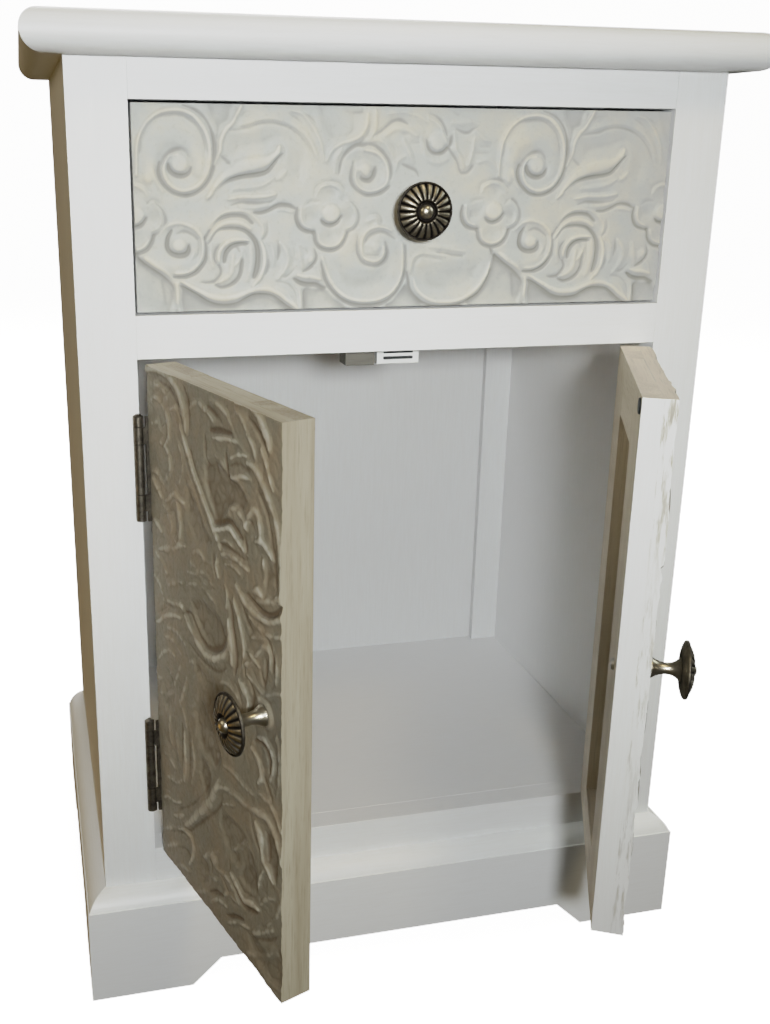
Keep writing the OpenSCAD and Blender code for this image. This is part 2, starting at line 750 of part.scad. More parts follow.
corner_stem = [[-3, 322, 5], [18, 321.5, 6], [36, 319.5, 7], [47, 313, 7], [52, 304, 7], [54, 295, 6.5],
    [57, 286, 7], [64, 277, 7.5], [72, 269, 7.5], [82, 259, 7.5], [92, 248, 7], [99, 240, 6], [105, 229, 4]];
corner_curl = [[-4, 291, 9], [4, 303, 10], [16, 308, 10], [27, 302, 9], [30, 291, 7], [24, 282, 5.5],
    [14, 281, 4], [8, 288, 3]];
hanging_leaf = [[26, 252, 3], [34, 257, 6], [43, 257, 6], [48, 249, 5.5], [47, 238, 5], [43, 227, 2]];
edge_leaf = [[1, 264, 2], [8, 257, 6.5], [12, 248, 7], [11, 238, 5], [6, 230, 2]];
crest_ridge = [[117, 319, 3], [130, 321, 5], [142, 318, 6], [150, 311, 5], [154, 303, 2]];
crest_stem = [[112, 318, 2], [105, 311, 6], [97, 303, 8], [88, 297, 7], [77, 297, 2]];
long_arch = [[103, 291, 3], [113, 298, 5], [124, 300, 6], [134, 297, 7], [145, 289, 7], [153, 279, 7],
    [158, 267, 7], [159, 253, 6.4], [155, 239, 5], [148, 230, 3]];
bud_leaf = [[88, 249, 2], [98, 256, 7.5], [110, 259, 9], [120, 255, 7], [129, 248, 2]];
tip_leaf = [[122, 264, 2], [128, 273, 6], [136, 278, 7], [142, 272, 7], [143, 262, 6], [140, 250, 2]];
heart_scroll = [[112, 228, 3], [111, 216, 6], [110, 204, 7], [107, 192, 7], [99, 181, 7.5], [86, 173, 8],
    [71, 171.5, 8], [58, 177, 8], [48, 187, 7.5], [40, 198, 7], [29, 206, 6.5], [16, 204, 5], [6, 196, 3]];
heart_leaf = [[60, 238, 2], [66, 228, 6.5], [74, 221, 8], [84, 216, 6], [94, 214, 2]];
heart_blade = [[54, 221, 2], [60, 212, 6], [69, 205, 7.5], [81, 201, 5.5], [92, 200, 2]];
small_scroll = [[124, 238, 3], [130, 229, 6], [140, 223, 7], [152, 223, 7], [161, 229, 6], [166, 238, 4]];
fern = [[122, 210, 2], [131, 206, 6], [140, 199, 7.5], [147, 190, 6.5], [150, 179, 2]];
side_vine = [[-3, 166, 5], [10, 172, 6.5], [24, 176, 7], [38, 174, 6.4], [49, 166, 5], [57, 155, 2]];
side_leaf = [[1, 149, 2], [10, 156, 6.5], [22, 159, 7.5], [34, 155, 6], [43, 146, 2]];
drop_leaf = [[30, 136, 2], [38, 126, 6], [42, 114, 6.5], [42, 101, 6], [40, 88, 5], [36, 76, 2]];
knob_scroll = [[112, 146, 3], [121, 154, 6], [133, 157.5, 7], [138, 158, 5]];
middle_scroll = [[103, 152, 3], [95, 160, 6], [83, 162, 7], [71, 156, 7], [66, 144, 6.5], [70, 132, 5.5],
    [80, 127, 4.5], [89, 131, 3]];
middle_leaf = [[100, 133, 2], [110, 138, 6.5], [121, 136, 7.5], [130, 128, 6], [135, 117, 2]];
lower_stem = [[34, 42, 3], [45, 53, 6.5], [58, 65, 7.5], [72, 79, 8], [88, 91, 8], [104, 98, 8], [121, 102, 8],
    [136, 105, 7.5], [149, 104, 7], [157, 97, 6.5], [160, 86, 5], [157, 76, 3]];
stem_leaf = [[60, 101, 2], [70, 110, 6.5], [84, 116, 8], [98, 117, 6.5], [112, 111, 2]];
lower_curl = [[96, 86, 2], [107, 88, 6], [119, 88, 7], [131, 85, 7], [140, 77, 6.5], [142, 66, 5.5],
    [136, 57, 4.5], [127, 56, 3]];
curl_leaf = [[82, 74, 2], [89, 66, 6.5], [98, 60, 8], [108, 57, 6], [118, 59, 2]];
corner_c = [[-3, 55, 5], [10, 55, 6], [22, 51, 6.4], [32, 43, 6.4], [39, 32, 6], [40, 20, 5.4], [35, 9, 4.6],
    [28, 2, 3]];
corner_blade = [[2, 40, 2], [12, 40, 6.5], [21, 34, 7.5], [26, 24, 6], [26, 12, 2]];
foot_leaf = [[52, 34, 2], [62, 31, 6.5], [71, 23, 7.5], [76, 12, 6], [77, -2, 3]];
foot_blade = [[86, 36, 2], [96, 33, 6.5], [105, 25, 7.5], [110, 13, 6], [111, -2, 3]];
foot_scroll = [[118, 20, 2], [128, 28, 6], [141, 31, 7], [153, 26, 7], [161, 15, 5], [164, 4, 3]];
door_bosses = [[17, 293, 4], [81, 144, 4.6], [137, 236, 4.4], [124, 176, 5.4], [142, 134, 5],
    [126, 70, 5], [78, 46, 4.6], [138, 14, 4.6], [18, 218, 4.6]];

// A door's carving, across from its hinge edge and up from its lower edge
module door_carving() {
    panel = [door_meeting_x - door_hinge_x, door_top - door_low];
    scale_by = [panel[0] / door_field[0], panel[1] / door_field[1]];
    pad = [door_knob_x - door_hinge_x, knob_z - door_low];
    intersection() {
        square(panel);
        union() {
            difference() {
                laid([crest_stem, crest_ridge, bud_leaf, tip_leaf, long_arch, small_scroll, heart_leaf,
                    heart_blade, edge_leaf, corner_curl, hanging_leaf, corner_stem, fern, side_leaf,
                    heart_scroll, side_vine, drop_leaf, knob_scroll, middle_leaf, middle_scroll, stem_leaf,
                    curl_leaf, lower_curl, lower_stem, corner_blade, corner_c, foot_leaf, foot_blade,
                    foot_scroll], scale_by);
                bosses(door_bosses, scale_by, groove_w);
                translate(pad) circle(knob_pad_r + groove_w);
            }
            bosses(door_bosses, scale_by, 0);
            translate(pad) circle(knob_pad_r);
        }
    }
}

// A door layer in plan: its meeting edge is planed back from the face towards the inside
module door_layer(from_x, near_y, far_y, low, high) {
    near_x = door_meeting_x - meeting_bevel * (near_y - front) / door_t;
    far_x = door_meeting_x - meeting_bevel * (far_y - front) / door_t;
    translate([0, 0, low]) linear_extrude(high - low)
        polygon([[from_x, near_y], [near_x, near_y], [far_x, far_y], [from_x, far_y]]);
}

module door_panel(which) {
    ground_y = front + relief;
    color(carved_taupe) swing(which) difference() {
        intersection() {
            door_layer(door_hinge_x, front, frame_layer_y, door_low, door_top);
            union() {
                box([door_hinge_x, ground_y, door_low], [door_meeting_x, frame_layer_y, door_top]);
                translate([door_hinge_x, ground_y + 0.5, door_low]) rotate([90, 0, 0])
                    linear_extrude(relief + 0.5) door_carving();
            }
        }
        knob_bore(door_knob_x, knob_z);
    }
}

module door_hinge_stile(which) {
    color(carved_taupe) swing(which) difference() {
        box([door_hinge_x, frame_layer_y, door_low], [door_hinge_x + door_stile_w, door_back_y, door_top]);
        for (z = [upper_hinge_z, lower_hinge_z]) door_leaf_screws(z, fit);
    }
}

module door_meeting_stile(which) {
    color(carved_taupe) swing(which) difference() {
        door_layer(door_meeting_x - door_stile_w, frame_layer_y, door_back_y, door_low, door_top);
        knob_bore(door_knob_x, knob_z);
    }
}

module door_rail(which, low, high) {
    color(carved_taupe) swing(which) box(
        [door_hinge_x + door_stile_w, frame_layer_y, low],
        [door_meeting_x - door_stile_w, door_back_y, high]);
}

module door_knob(which) {
    swing(which) at_face(door_knob_x, knob_z) knob();
}

module door_knob_screw(which) {
    swing(which) translate([door_knob_x, door_back_y, knob_z]) rotate([90, 0, 0]) knob_screw(door_t);
}

// ---- catch, strikes and stop block ----

catch_y = door_back_y + strike_t + joint_gap;
pole_z = [door_opening_top - catch_h * 0.68, door_opening_top - catch_h * 0.36];
strike_z = door_top - strike_edge - strike_r;
strike_x = door_meeting_x - meeting_bevel - strike_edge - strike_r;

module pole_plate(z, grow) {
    box([-pole_w / 2 - grow, catch_y, z - pole_t / 2 - grow],
        [pole_w / 2 + grow, catch_y + catch_d - catch_wall + grow, z + pole_t / 2 + grow]);
}

module catch_housing() {
    color(plastic) difference() {
        box([-catch_w / 2, catch_y + pole_proud, door_opening_top - catch_h],
            [catch_w / 2, catch_y + catch_d, door_opening_top]);
        for (z = pole_z) pole_plate(z, fit);
    }
}

module catch_pole_plates() {
    color(steel) for (z = pole_z) pole_plate(z, 0);
}

module stop_block() {
    near_x = -catch_w / 2 - 2;
    color(carved_taupe) box([near_x - stop_w, door_back_y + joint_gap, door_opening_top - catch_h],
        [near_x, door_back_y + joint_gap + catch_d, door_opening_top]);
}

module door_strike(which) {
    color(steel) swing(which) translate([strike_x, door_back_y, strike_z]) rotate([-90, 0, 0])
        cylinder(r1 = strike_r, r2 = strike_r - 0.4, h = strike_t);
}

top_board();
side_panel(-1);  // left_side_panel
side_panel(1);  // right_side_panel
back_panel();
back_batten(-1);  // left_back_batten
back_batten(1);  // right_back_batten
cupboard_floor();
stile(-1);  // left_stile
stile(1);  // right_stile
rail(drawer_top, body_h, frame_t);  // top_rail
rail(door_opening_top, drawer_low, middle_rail_d);  // middle_rail
rail(bottom_rail_top - bottom_rail_h, bottom_rail_top, frame_t);  // bottom_rail
front_plinth();
side_plinth(-1);  // left_plinth
side_plinth(1);  // right_plinth
back_plinth();
runner(-1);  // left_runner
runner(1);  // right_runner
kicker(-1);  // left_kicker
kicker(1);  // right_kicker
catch_housing();
catch_pole_plates();
stop_block();
frame_leaf(-1, upper_hinge_z);  // left_upper_frame_leaf
frame_leaf(-1, lower_hinge_z);  // left_lower_frame_leaf
frame_leaf(1, upper_hinge_z);  // right_upper_frame_leaf
frame_leaf(1, lower_hinge_z);  // right_lower_frame_leaf
hinge_pins();
frame_hinge_screws();
drawer_front();
drawer_side(-1);  // drawer_left_side
drawer_side(1);  // drawer_right_side
drawer_back();
drawer_bottom();
drawer_knob();
drawer_knob_screw();
door_panel(-1);  // left_door_panel
door_hinge_stile(-1);  // left_door_hinge_stile
door_meeting_stile(-1);  // left_door_meeting_stile
door_rail(-1, door_top - door_top_rail_h, door_top);  // left_door_top_rail
door_rail(-1, door_low, door_low + door_bottom_rail_h);  // left_door_bottom_rail
door_knob(-1);  // left_door_knob
door_knob_screw(-1);  // left_door_knob_screw
door_strike(-1);  // left_door_strike
door_leaf(-1, upper_hinge_z);  // left_upper_door_leaf
door_leaf(-1, lower_hinge_z);  // left_lower_door_leaf
door_hinge_screws(-1);  // left_door_hinge_screws
door_panel(1);  // right_door_panel
door_hinge_stile(1);  // right_door_hinge_stile
door_meeting_stile(1);  // right_door_meeting_stile
door_rail(1, door_top - door_top_rail_h, door_top);  // right_door_top_rail
door_rail(1, door_low, door_low + door_bottom_rail_h);  // right_door_bottom_rail
door_knob(1);  // right_door_knob
door_knob_screw(1);  // right_door_knob_screw
door_strike(1);  // right_door_strike
door_leaf(1, upper_hinge_z);  // right_upper_door_leaf
door_leaf(1, lower_hinge_z);  // right_lower_door_leaf
door_hinge_screws(1);  // right_door_hinge_screws
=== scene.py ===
import json
import math

import bmesh
import bpy
import numpy as np
from mathutils import Matrix, Vector


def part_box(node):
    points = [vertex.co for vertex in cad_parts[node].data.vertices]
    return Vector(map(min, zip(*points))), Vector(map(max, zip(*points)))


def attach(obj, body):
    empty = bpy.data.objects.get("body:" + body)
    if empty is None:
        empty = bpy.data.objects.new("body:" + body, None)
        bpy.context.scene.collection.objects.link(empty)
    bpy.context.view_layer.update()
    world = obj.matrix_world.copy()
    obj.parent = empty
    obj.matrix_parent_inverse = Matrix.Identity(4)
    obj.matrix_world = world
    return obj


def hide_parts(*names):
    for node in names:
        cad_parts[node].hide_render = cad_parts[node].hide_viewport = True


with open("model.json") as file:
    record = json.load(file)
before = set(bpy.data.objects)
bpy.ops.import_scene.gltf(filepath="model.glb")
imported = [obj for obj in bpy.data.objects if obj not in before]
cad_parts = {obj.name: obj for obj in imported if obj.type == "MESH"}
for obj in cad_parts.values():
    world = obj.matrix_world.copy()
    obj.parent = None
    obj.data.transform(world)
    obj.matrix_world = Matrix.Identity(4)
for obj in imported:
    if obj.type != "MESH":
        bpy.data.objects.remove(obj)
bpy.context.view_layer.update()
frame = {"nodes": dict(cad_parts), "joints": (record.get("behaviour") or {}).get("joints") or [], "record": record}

# A bedside pot cupboard: finishes, eased boards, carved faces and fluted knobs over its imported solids

MM = 0.001
RECORD = frame["record"]
JOINTS = {joint["name"]: joint for joint in frame["joints"]}
BODY_OF = {node: body for body, nodes in RECORD["behaviour"]["bodies"].items() for node in nodes}
SLOT_OF = {part["node"]: part["material_slot"] for part in RECORD["subparts"]}
SIDES = ("left", "right")
HINGES = {side: JOINTS[side + "_door_hinge"] for side in SIDES}
# The turn about +Z that shuts each door from its photographed pose
SHUT = {side: math.radians(hinge["range_deg"][0]) * hinge["axis"][2] for side, hinge in HINGES.items()}


# ---------------------------------------------------------------- node materials

class Nodes:
    """The nodes of a material or world, added by calls that give back the node's output."""

    def __init__(self, tree):
        self.tree = tree

    def feed(self, socket, value):
        """Links another node's output to a socket, or sets the socket's own value."""
        if isinstance(value, bpy.types.NodeSocket):
            self.tree.links.new(value, socket)
        else:
            socket.default_value = (*value, 1) if socket.type == "RGBA" else value

    def add(self, kind, inputs=None, **settings):
        node = self.tree.nodes.new(kind)
        for key, value in settings.items():
            setattr(node, key, value)
        for socket, value in (inputs or {}).items():
            self.feed(node.inputs[socket], value)
        return node

    def mix(self, factor, first, second):
        colours = {0: factor, 6: first, 7: second}
        return self.add("ShaderNodeMix", colours, data_type="RGBA").outputs[2]

    def maths(self, operation, first, second):
        return self.add("ShaderNodeMath", {0: first, 1: second}, operation=operation).outputs[0]

    def remap(self, value, low, high, to_low=0.0, to_high=1.0):
        limits = {"Value": value, "From Min": low, "From Max": high, "To Min": to_low, "To Max": to_high}
        return self.add("ShaderNodeMapRange", limits).outputs["Result"]


class Finish(Nodes):
    """A node material: a Principled surface and the few nodes that feed it."""

    def __init__(self, name, **surface):
        self.material = bpy.data.materials.new(name)
        self.material.use_nodes = True
        super().__init__(self.material.node_tree)
        self.surface = self.tree.nodes["Principled BSDF"]
        for socket, value in surface.items():
            self.link(value, socket.replace("_", " "))

    def link(self, source, socket):
        self.feed(self.surface.inputs[socket], source)

    def place(self, stretch=(1, 1, 1), turn=0.0):
        """Object coordinates in metres, turned about Z and then stretched along the grain."""
        here = self.add("ShaderNodeTexCoord").outputs["Object"]
        if turn:
            here = self.add("ShaderNodeMapping", {"Vector": here, "Rotation": (0, 0, turn)}).outputs[0]
        return self.add("ShaderNodeMapping", {"Vector": here, "Scale": stretch}).outputs[0]

    def noise(self, place, scale, detail=3.0, rough=0.5):
        node = self.add("ShaderNodeTexNoise",
                        {"Vector": place, "Scale": scale, "Detail": detail, "Roughness": rough})
        return node.outputs["Fac"]

    def ramp(self, factor, stops):
        """A colour ramp through (position, colour) stops."""
        node = self.add("ShaderNodeValToRGB", {"Fac": factor})
        band = node.color_ramp
        while len(band.elements) < len(stops):
            band.elements.new(0.5)
        for element, (position, colour) in zip(band.elements, stops):
            element.position = position
            element.color = (*colour, 1)
        return node.outputs["Color"]

    def mark(self, name):
        """A value that the mesh carries at its points."""
        return self.add("ShaderNodeAttribute", attribute_name=name).outputs["Fac"]

    def bump(self, *layers):
        """Layers of (height, depth in metres), one over the other."""
        normal = None
        for height, depth in layers:
            inputs = {"Height": height, "Strength": 1.0, "Distance": depth}
            if normal is not None:
                inputs["Normal"] = normal
            normal = self.add("ShaderNodeBump", inputs).outputs["Normal"]
        self.link(normal, "Normal")

    def coated(self, tone, sheen, *layers):
        """The finished material; sheen is what remap() takes to make the roughness."""
        self.link(tone, "Base Color")
        self.link(self.remap(*sheen), "Roughness")
        self.bump(*layers)
        return self.material


# A pattern's scale along the grain, as a share of that across it, and its scales for a grain along each axis
STREAK = 0.05
ALONG = {"x": (STREAK, 1, 1), "y": (1, STREAK, 1), "z": (1, 1, STREAK)}
# White paint where it is thin, full and streaked by the brush, and the wood where it is rubbed away
THIN, FULL, STREAKED = (0.855, 0.865, 0.875), (0.885, 0.89, 0.89), (0.85, 0.852, 0.85)
RUBBED = (0.38, 0.355, 0.29)


def white_paint(grain, name="white_paint_", shade=1.0, wear=0.0):
    """Satin paint, brushed along the board: faint streaks, and rubbed patches as far as wear goes."""
    finish = Finish(name + grain, Roughness=0.42)
    streak = finish.noise(finish.place(ALONG[grain]), 900.0, 4.0, 0.6)
    cloud = finish.noise(finish.place(), 7.0)
    peel = finish.noise(finish.place(), 1400.0, 2.0)
    thin, full, streaked = ([shade * c for c in tone] for tone in (THIN, FULL, STREAKED))
    brushed = finish.ramp(streak, [(0.35, (1, 1, 1)), (0.62, (0, 0, 0))])
    tone = finish.mix(brushed, finish.mix(cloud, thin, full), streaked)
    if wear:
        rub = finish.noise(finish.place((1, 1, 0.12)), 330.0, 5.0, 0.65)
        patch = finish.noise(finish.place(), 16.0)
        worn = finish.maths("MULTIPLY", finish.remap(rub, 0.5, 0.62),
                            finish.remap(patch, 0.4, 0.6, 0.2, wear))
        tone = finish.mix(worn, tone, RUBBED)
    return finish.coated(tone, (streak, 0.3, 0.7, 0.36, 0.5), (streak, 0.00006), (peel, 0.00004))


def washed_carving(name, recess, ground, ridge, warm, fleck, crest):
    """Wash over carved wood: grey with grime and painted shade in the hollows, rubbed thin and warm on the ridges.

    fleck is how strong the specks of grime are, and crest how proud a ridge is where it is rubbed bare and painted
    lighter.
    """
    rough = 0.6
    finish = Finish(name, Roughness=rough)
    here = finish.place()
    blotch = finish.noise(here, 38.0, 4.0, 0.6)
    speck = finish.noise(here, 420.0, 3.0, 0.6)
    # worn follows the hollow mark: painted shade in cuts and painted light on what stands proud, with grime and
    # wear, varied by blotches
    worn = finish.maths("ADD", finish.mark("hollow"), finish.remap(blotch, 0.0, 1.0, -0.12, 0.12))
    tone = finish.ramp(worn, [(0.1, recess), (0.42, ground), (crest - 0.22, ground), (crest, ridge)])
    warmth = finish.maths("MULTIPLY", finish.remap(blotch, 0.42, 0.66),
                          finish.remap(finish.mark("lift"), 0.2, 1.0, 0.3, 0.9))
    tone = finish.mix(warmth, tone, warm)
    # the deepest hollows are pulled further to the recess colour: painted shade with grime
    tone = finish.mix(finish.remap(worn, 0.12, 0.36, 0.75, 0.0), tone, recess)
    tone = finish.mix(finish.remap(speck, 0.56, 0.74, 0.0, fleck), tone, recess)
    return finish.coated(tone, (speck, 0.3, 0.7, rough - 0.08, rough + 0.1),
                         (speck, 0.0001), (blotch, 0.0004))


def grained_wood(name, grain, light, dark, ring=55.0, turn=0.0):
    """Planed or limed wood: broad bands and fine pores along one axis."""
    rough = 0.55
    finish = Finish(name, Roughness=rough)
    along = finish.place(ALONG[grain], turn)
    band = finish.noise(along, ring, 5.0, 0.62)
    pore = finish.noise(along, ring * 14, 3.0, 0.7)
    cloud = finish.noise(finish.place(), 11.0)
    tone = finish.mix(finish.remap(band, 0.36, 0.66), dark, light)
    tone = finish.mix(finish.remap(pore, 0.52, 0.7, 0.0, 0.55), tone, [c * 0.72 for c in dark])
    tone = finish.mix(finish.remap(cloud, 0.3, 0.75, 0.0, 0.3), tone, [c * 1.12 for c in light])
    return finish.coated(tone, (pore, 0.3, 0.7, rough - 0.1, rough + 0.12), (band, 0.0002), (pore, 0.00022))


def antique_brass():
    """Rubbed brass with dark patina in the flutes."""
    finish = Finish("antique_brass", Metallic=1.0, Roughness=0.4)
    here = finish.place()
    stain = finish.noise(here, 260.0, 4.0, 0.6)
    fine = finish.noise(here, 1500.0, 2.0)
    depth = finish.maths("ADD", finish.mark("hollow"), finish.remap(stain, 0.2, 0.8, -0.18, 0.18))
    tone = finish.ramp(depth, [(0.08, (0.54, 0.49, 0.39)), (0.34, (0.28, 0.25, 0.195)),
                               (0.6, (0.075, 0.066, 0.054)), (0.9, (0.018, 0.015, 0.013))])
    return finish.coated(tone, (depth, 0.1, 0.7, 0.32, 0.6), (stain, 0.0001), (fine, 0.00003))


def worn_metal(name, light, dark, rough, pits):
    """Plated or bronzed metal with a mottled surface."""
    finish = Finish(name, Metallic=1.0, Roughness=rough)
    mottle = finish.noise(finish.place(), 180.0, 5.0, 0.65)
    scratch = finish.noise(finish.place((1, 1, 0.08)), 2200.0, 2.0)
    tone = finish.mix(finish.remap(mottle, 0.35, 0.7), dark, light)
    return finish.coated(tone, (mottle, 0.3, 0.7, rough + 0.12, rough - 0.06),
                         (mottle, pits), (scratch, 0.00003))


def moulded_plastic():
    """Slightly glossy white plastic with a fine moulded grain."""
    finish = Finish("white_plastic", Roughness=0.38)
    here = finish.place()
    cloud = finish.noise(here, 90.0, 2.0)
    fine = finish.noise(here, 2400.0, 2.0)
    tone = finish.mix(cloud, (0.80, 0.80, 0.77), (0.86, 0.86, 0.84))
    return finish.coated(tone, (fine, 0.3, 0.7, 0.34, 0.46), (fine, 0.00004))


def woods(name, grains, *tones, **settings):
    """The same wood with its grain along each of several axes."""
    return {grain: grained_wood(f"{name}_{grain}", grain, *tones, **settings) for grain in grains}


PAINT = {grain: white_paint(grain) for grain in "xyz"}
INNER = {grain: white_paint(grain, "inner_paint_", 0.82) for grain in "xz"}
EDGE = white_paint("z", "edge_paint_", 0.84)
WORN = white_paint("z", "worn_paint_", 0.84, 1.0)
# A door's boards have their grain turned with the door
LIMED = woods("limed_wood", "xz", (0.39, 0.35, 0.265), (0.23, 0.19, 0.132), turn=SHUT["left"])
PALE = woods("pale_wood", "xz", (0.76, 0.70, 0.58), (0.62, 0.55, 0.43), turn=SHUT["right"])
BARE = woods("bare_wood", "xyz", (0.66, 0.50, 0.31), (0.52, 0.36, 0.20), ring=38.0)
CREAM = washed_carving("cream_washed_carving", (0.30, 0.297, 0.27), (0.505, 0.515, 0.50),
                       (0.675, 0.655, 0.59), (0.61, 0.57, 0.475), 0.16, 0.84)
TAUPE = washed_carving("taupe_washed_carving", (0.115, 0.088, 0.057), (0.20, 0.187, 0.147),
                       (0.47, 0.46, 0.405), (0.235, 0.185, 0.125), 0.35, 0.76)
BRASS = antique_brass()
BRONZE = worn_metal("bronzed_steel", (0.27, 0.245, 0.20), (0.09, 0.08, 0.066), 0.42, 0.00012)
ZINC = worn_metal("zinc_steel", (0.62, 0.62, 0.60), (0.45, 0.45, 0.44), 0.34, 0.00004)
DARK_STEEL = worn_metal("dark_steel", (0.085, 0.09, 0.09), (0.035, 0.037, 0.037), 0.5, 0.00004)
PLASTIC = moulded_plastic()
DULL_WOOD = grained_wood("dull_wood", "x", (0.165, 0.158, 0.135), (0.12, 0.11, 0.09))
# A near-white wood for the back and hinge edge of the right door's panel: painted light, to lift that side out of
# its shade
PAINTED_LIGHT_WOOD = grained_wood("painted_light_wood", "z", (0.90, 0.88, 0.82), (0.80, 0.77, 0.70))


# ---------------------------------------------------------------- meshes

# Faces that meet at less than FLAT are joined; an edge over ARRIS is eased, and one over CREASE is sharp
FLAT, ARRIS, CREASE = (math.radians(angle) for angle in (0.5, 35, 40))
# How near corners are when they are joined, and how far an arris is eased, in metres
WELD, BOARD_ARRIS, SMALL_ARRIS, PLINTH_ARRIS = 2e-6, 0.0004, 0.0005, 0.0007


def show(name, mesh, materials, node):
    """Puts a mesh in the scene as the piece that stands for a CAD node."""
    for material in materials:
        mesh.materials.append(material)
    piece = bpy.data.objects.new(name, mesh)
    bpy.context.scene.collection.objects.link(piece)
    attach(piece, BODY_OF[node])
    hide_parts(node)
    return piece


def softened(node, width, materials, segments=3, choose=None):
    """A copy of a CAD board with its arrises eased; choose(face) picks a face's material."""
    mesh = frame["nodes"][node].data.copy()
    mesh.materials.clear()
    shape = bmesh.new()
    shape.from_mesh(mesh)
    bmesh.ops.remove_doubles(shape, verts=shape.verts, dist=WELD)
    bmesh.ops.dissolve_limit(shape, angle_limit=FLAT, verts=shape.verts, edges=shape.edges)
    sharp = [e for e in shape.edges if len(e.link_faces) == 2 and e.calc_face_angle(0) > ARRIS]
    bmesh.ops.bevel(shape, geom=sharp, offset=width, segments=segments, profile=0.5,
                    affect="EDGES", clamp_overlap=True)
    if choose is not None:
        for face in shape.faces:
            face.material_index = choose(face)
    shape.to_mesh(mesh)
    shape.free()
    mesh.name = node + "_softened"
    mesh.shade_smooth()
    mesh.set_sharp_from_angle(angle=CREASE)
    piece = show(node + "_board", mesh, materials, node)
    piece.modifiers.new("flat faces", "WEIGHTED_NORMAL").keep_sharp = True


def paint(node, material):
    """Gives a CAD node that keeps its shape a better finish."""
    piece = frame["nodes"][node]
    for slot in piece.material_slots:
        slot.material = material
    if not piece.material_slots:
        piece.data.materials.append(material)


def mesh_of(name, points, faces, marks=None):
    """A smooth mesh, with marks as {name: value at each point}."""
    mesh = bpy.data.meshes.new(name)
    mesh.from_pydata([tuple(p) for p in points], [], faces)
    mesh.validate()
    for key, values in (marks or {}).items():
        layer = mesh.attributes.new(key, "FLOAT", "POINT")
        layer.data.foreach_set("value", np.asarray(values, np.float32))
    mesh.shade_smooth()
    mesh.update()
    return mesh


# ---------------------------------------------------------------- carving, in millimetres

RELIEF = 3.5  # how high the highest relief may stand over the deepest cut
SOFT_TOP, SOFT_REACH = 2.6, 0.9  # relief over SOFT_TOP is held back, to SOFT_REACH more at most
NARROWEST = 0.8  # the least width of a ridge or cut
RIDGE_TOP, RIDGE_POWER = 1.3, 1.2  # a ridge's height as a share of its rise, and the power that rounds it
FULL_GRIME_AND_SHADE, GRIME_AND_SHADE_POWER = 2, 0.8  # the depth of a cut that is painted darkest, as grime and shade, and the power that spreads it
DOME_POWER, DISH_POWER = 0.6, 1.4
SEAT_TOP, SEAT_FOOT = 6.2, 9.0  # radii of a knob's seat
CREASE_FINE, CREASE_BROAD = 1.8, 3.6  # creases run where noise smoothed over these reaches is alike
CREASE_NARROW = 1.5  # the higher, the narrower they are
CREASE_SWELL, CREASE_GRIME_AND_SHADE = 0.5, 0.7  # how far the wood between creases swells, and the grime and painted shade in them
EASED = 0.65  # how far the tool's edges are eased
RIPPLE, RIPPLES = 0.12, ((6.0, 1.0), (2.0, 0.5))  # the hand's unevenness, and its (reach, share) pairs
RIPPLE_LOW, RIPPLE_RISE = 0.35, 0.3  # its share on the lowest ground, and what the highest relief adds
NEAR, FAR = 1.6, 5.0  # how far a point's near and far surroundings reach
NEAR_RUB_SHADE, FAR_RUB_SHADE, HIGH_RUB_SHADE, GRIME_AND_SHADE_WEIGHT = 0.36, 0.18, 0.08, 0.36  # what these and the grime and shade grid do to the mark of painted light, shade and wear
BACK_LIFT = 0.3  # the "lift" mark at the back's corners
DRAWER_CELL, DOOR_CELL = 0.6, 0.7  # the grids' cells
DRAWER_LEVEL, DOOR_LEVEL = 1.9, 1.8  # the grounds that the carving rises from and is cut into
DRAWER_SEED, DOOR_SEED, CREASE_SEED = 3, 5, 9
CREASE_DEPTH = 0.3
NEUTRAL = 0.5  # the mark of a plain face: less is grime and painted shade, more is rubbed and painted light


def smoothstep(share):
    return share * share * (3 - 2 * share)


def spline(points, step=0.4):
    """Catmull-Rom curve through (along, up, width) points, sampled about every step."""
    p = np.array(points, float)
    p = np.vstack([2 * p[0] - p[1], p, 2 * p[-1] - p[-2]])
    out = []
    for a, b, c, d in zip(p, p[1:], p[2:], p[3:]):
        count = max(2, int(np.hypot(*(c - b)[:2]) / step))
        t = np.arange(count)[:, None] / count
        out.append(0.5 * (2 * b + (c - a) * t + (2 * a - 5 * b + 4 * c - d) * t ** 2
                          + (3 * b - a - 3 * c + d) * t ** 3))
    out.append(p[-2][None])
    return np.vstack(out)


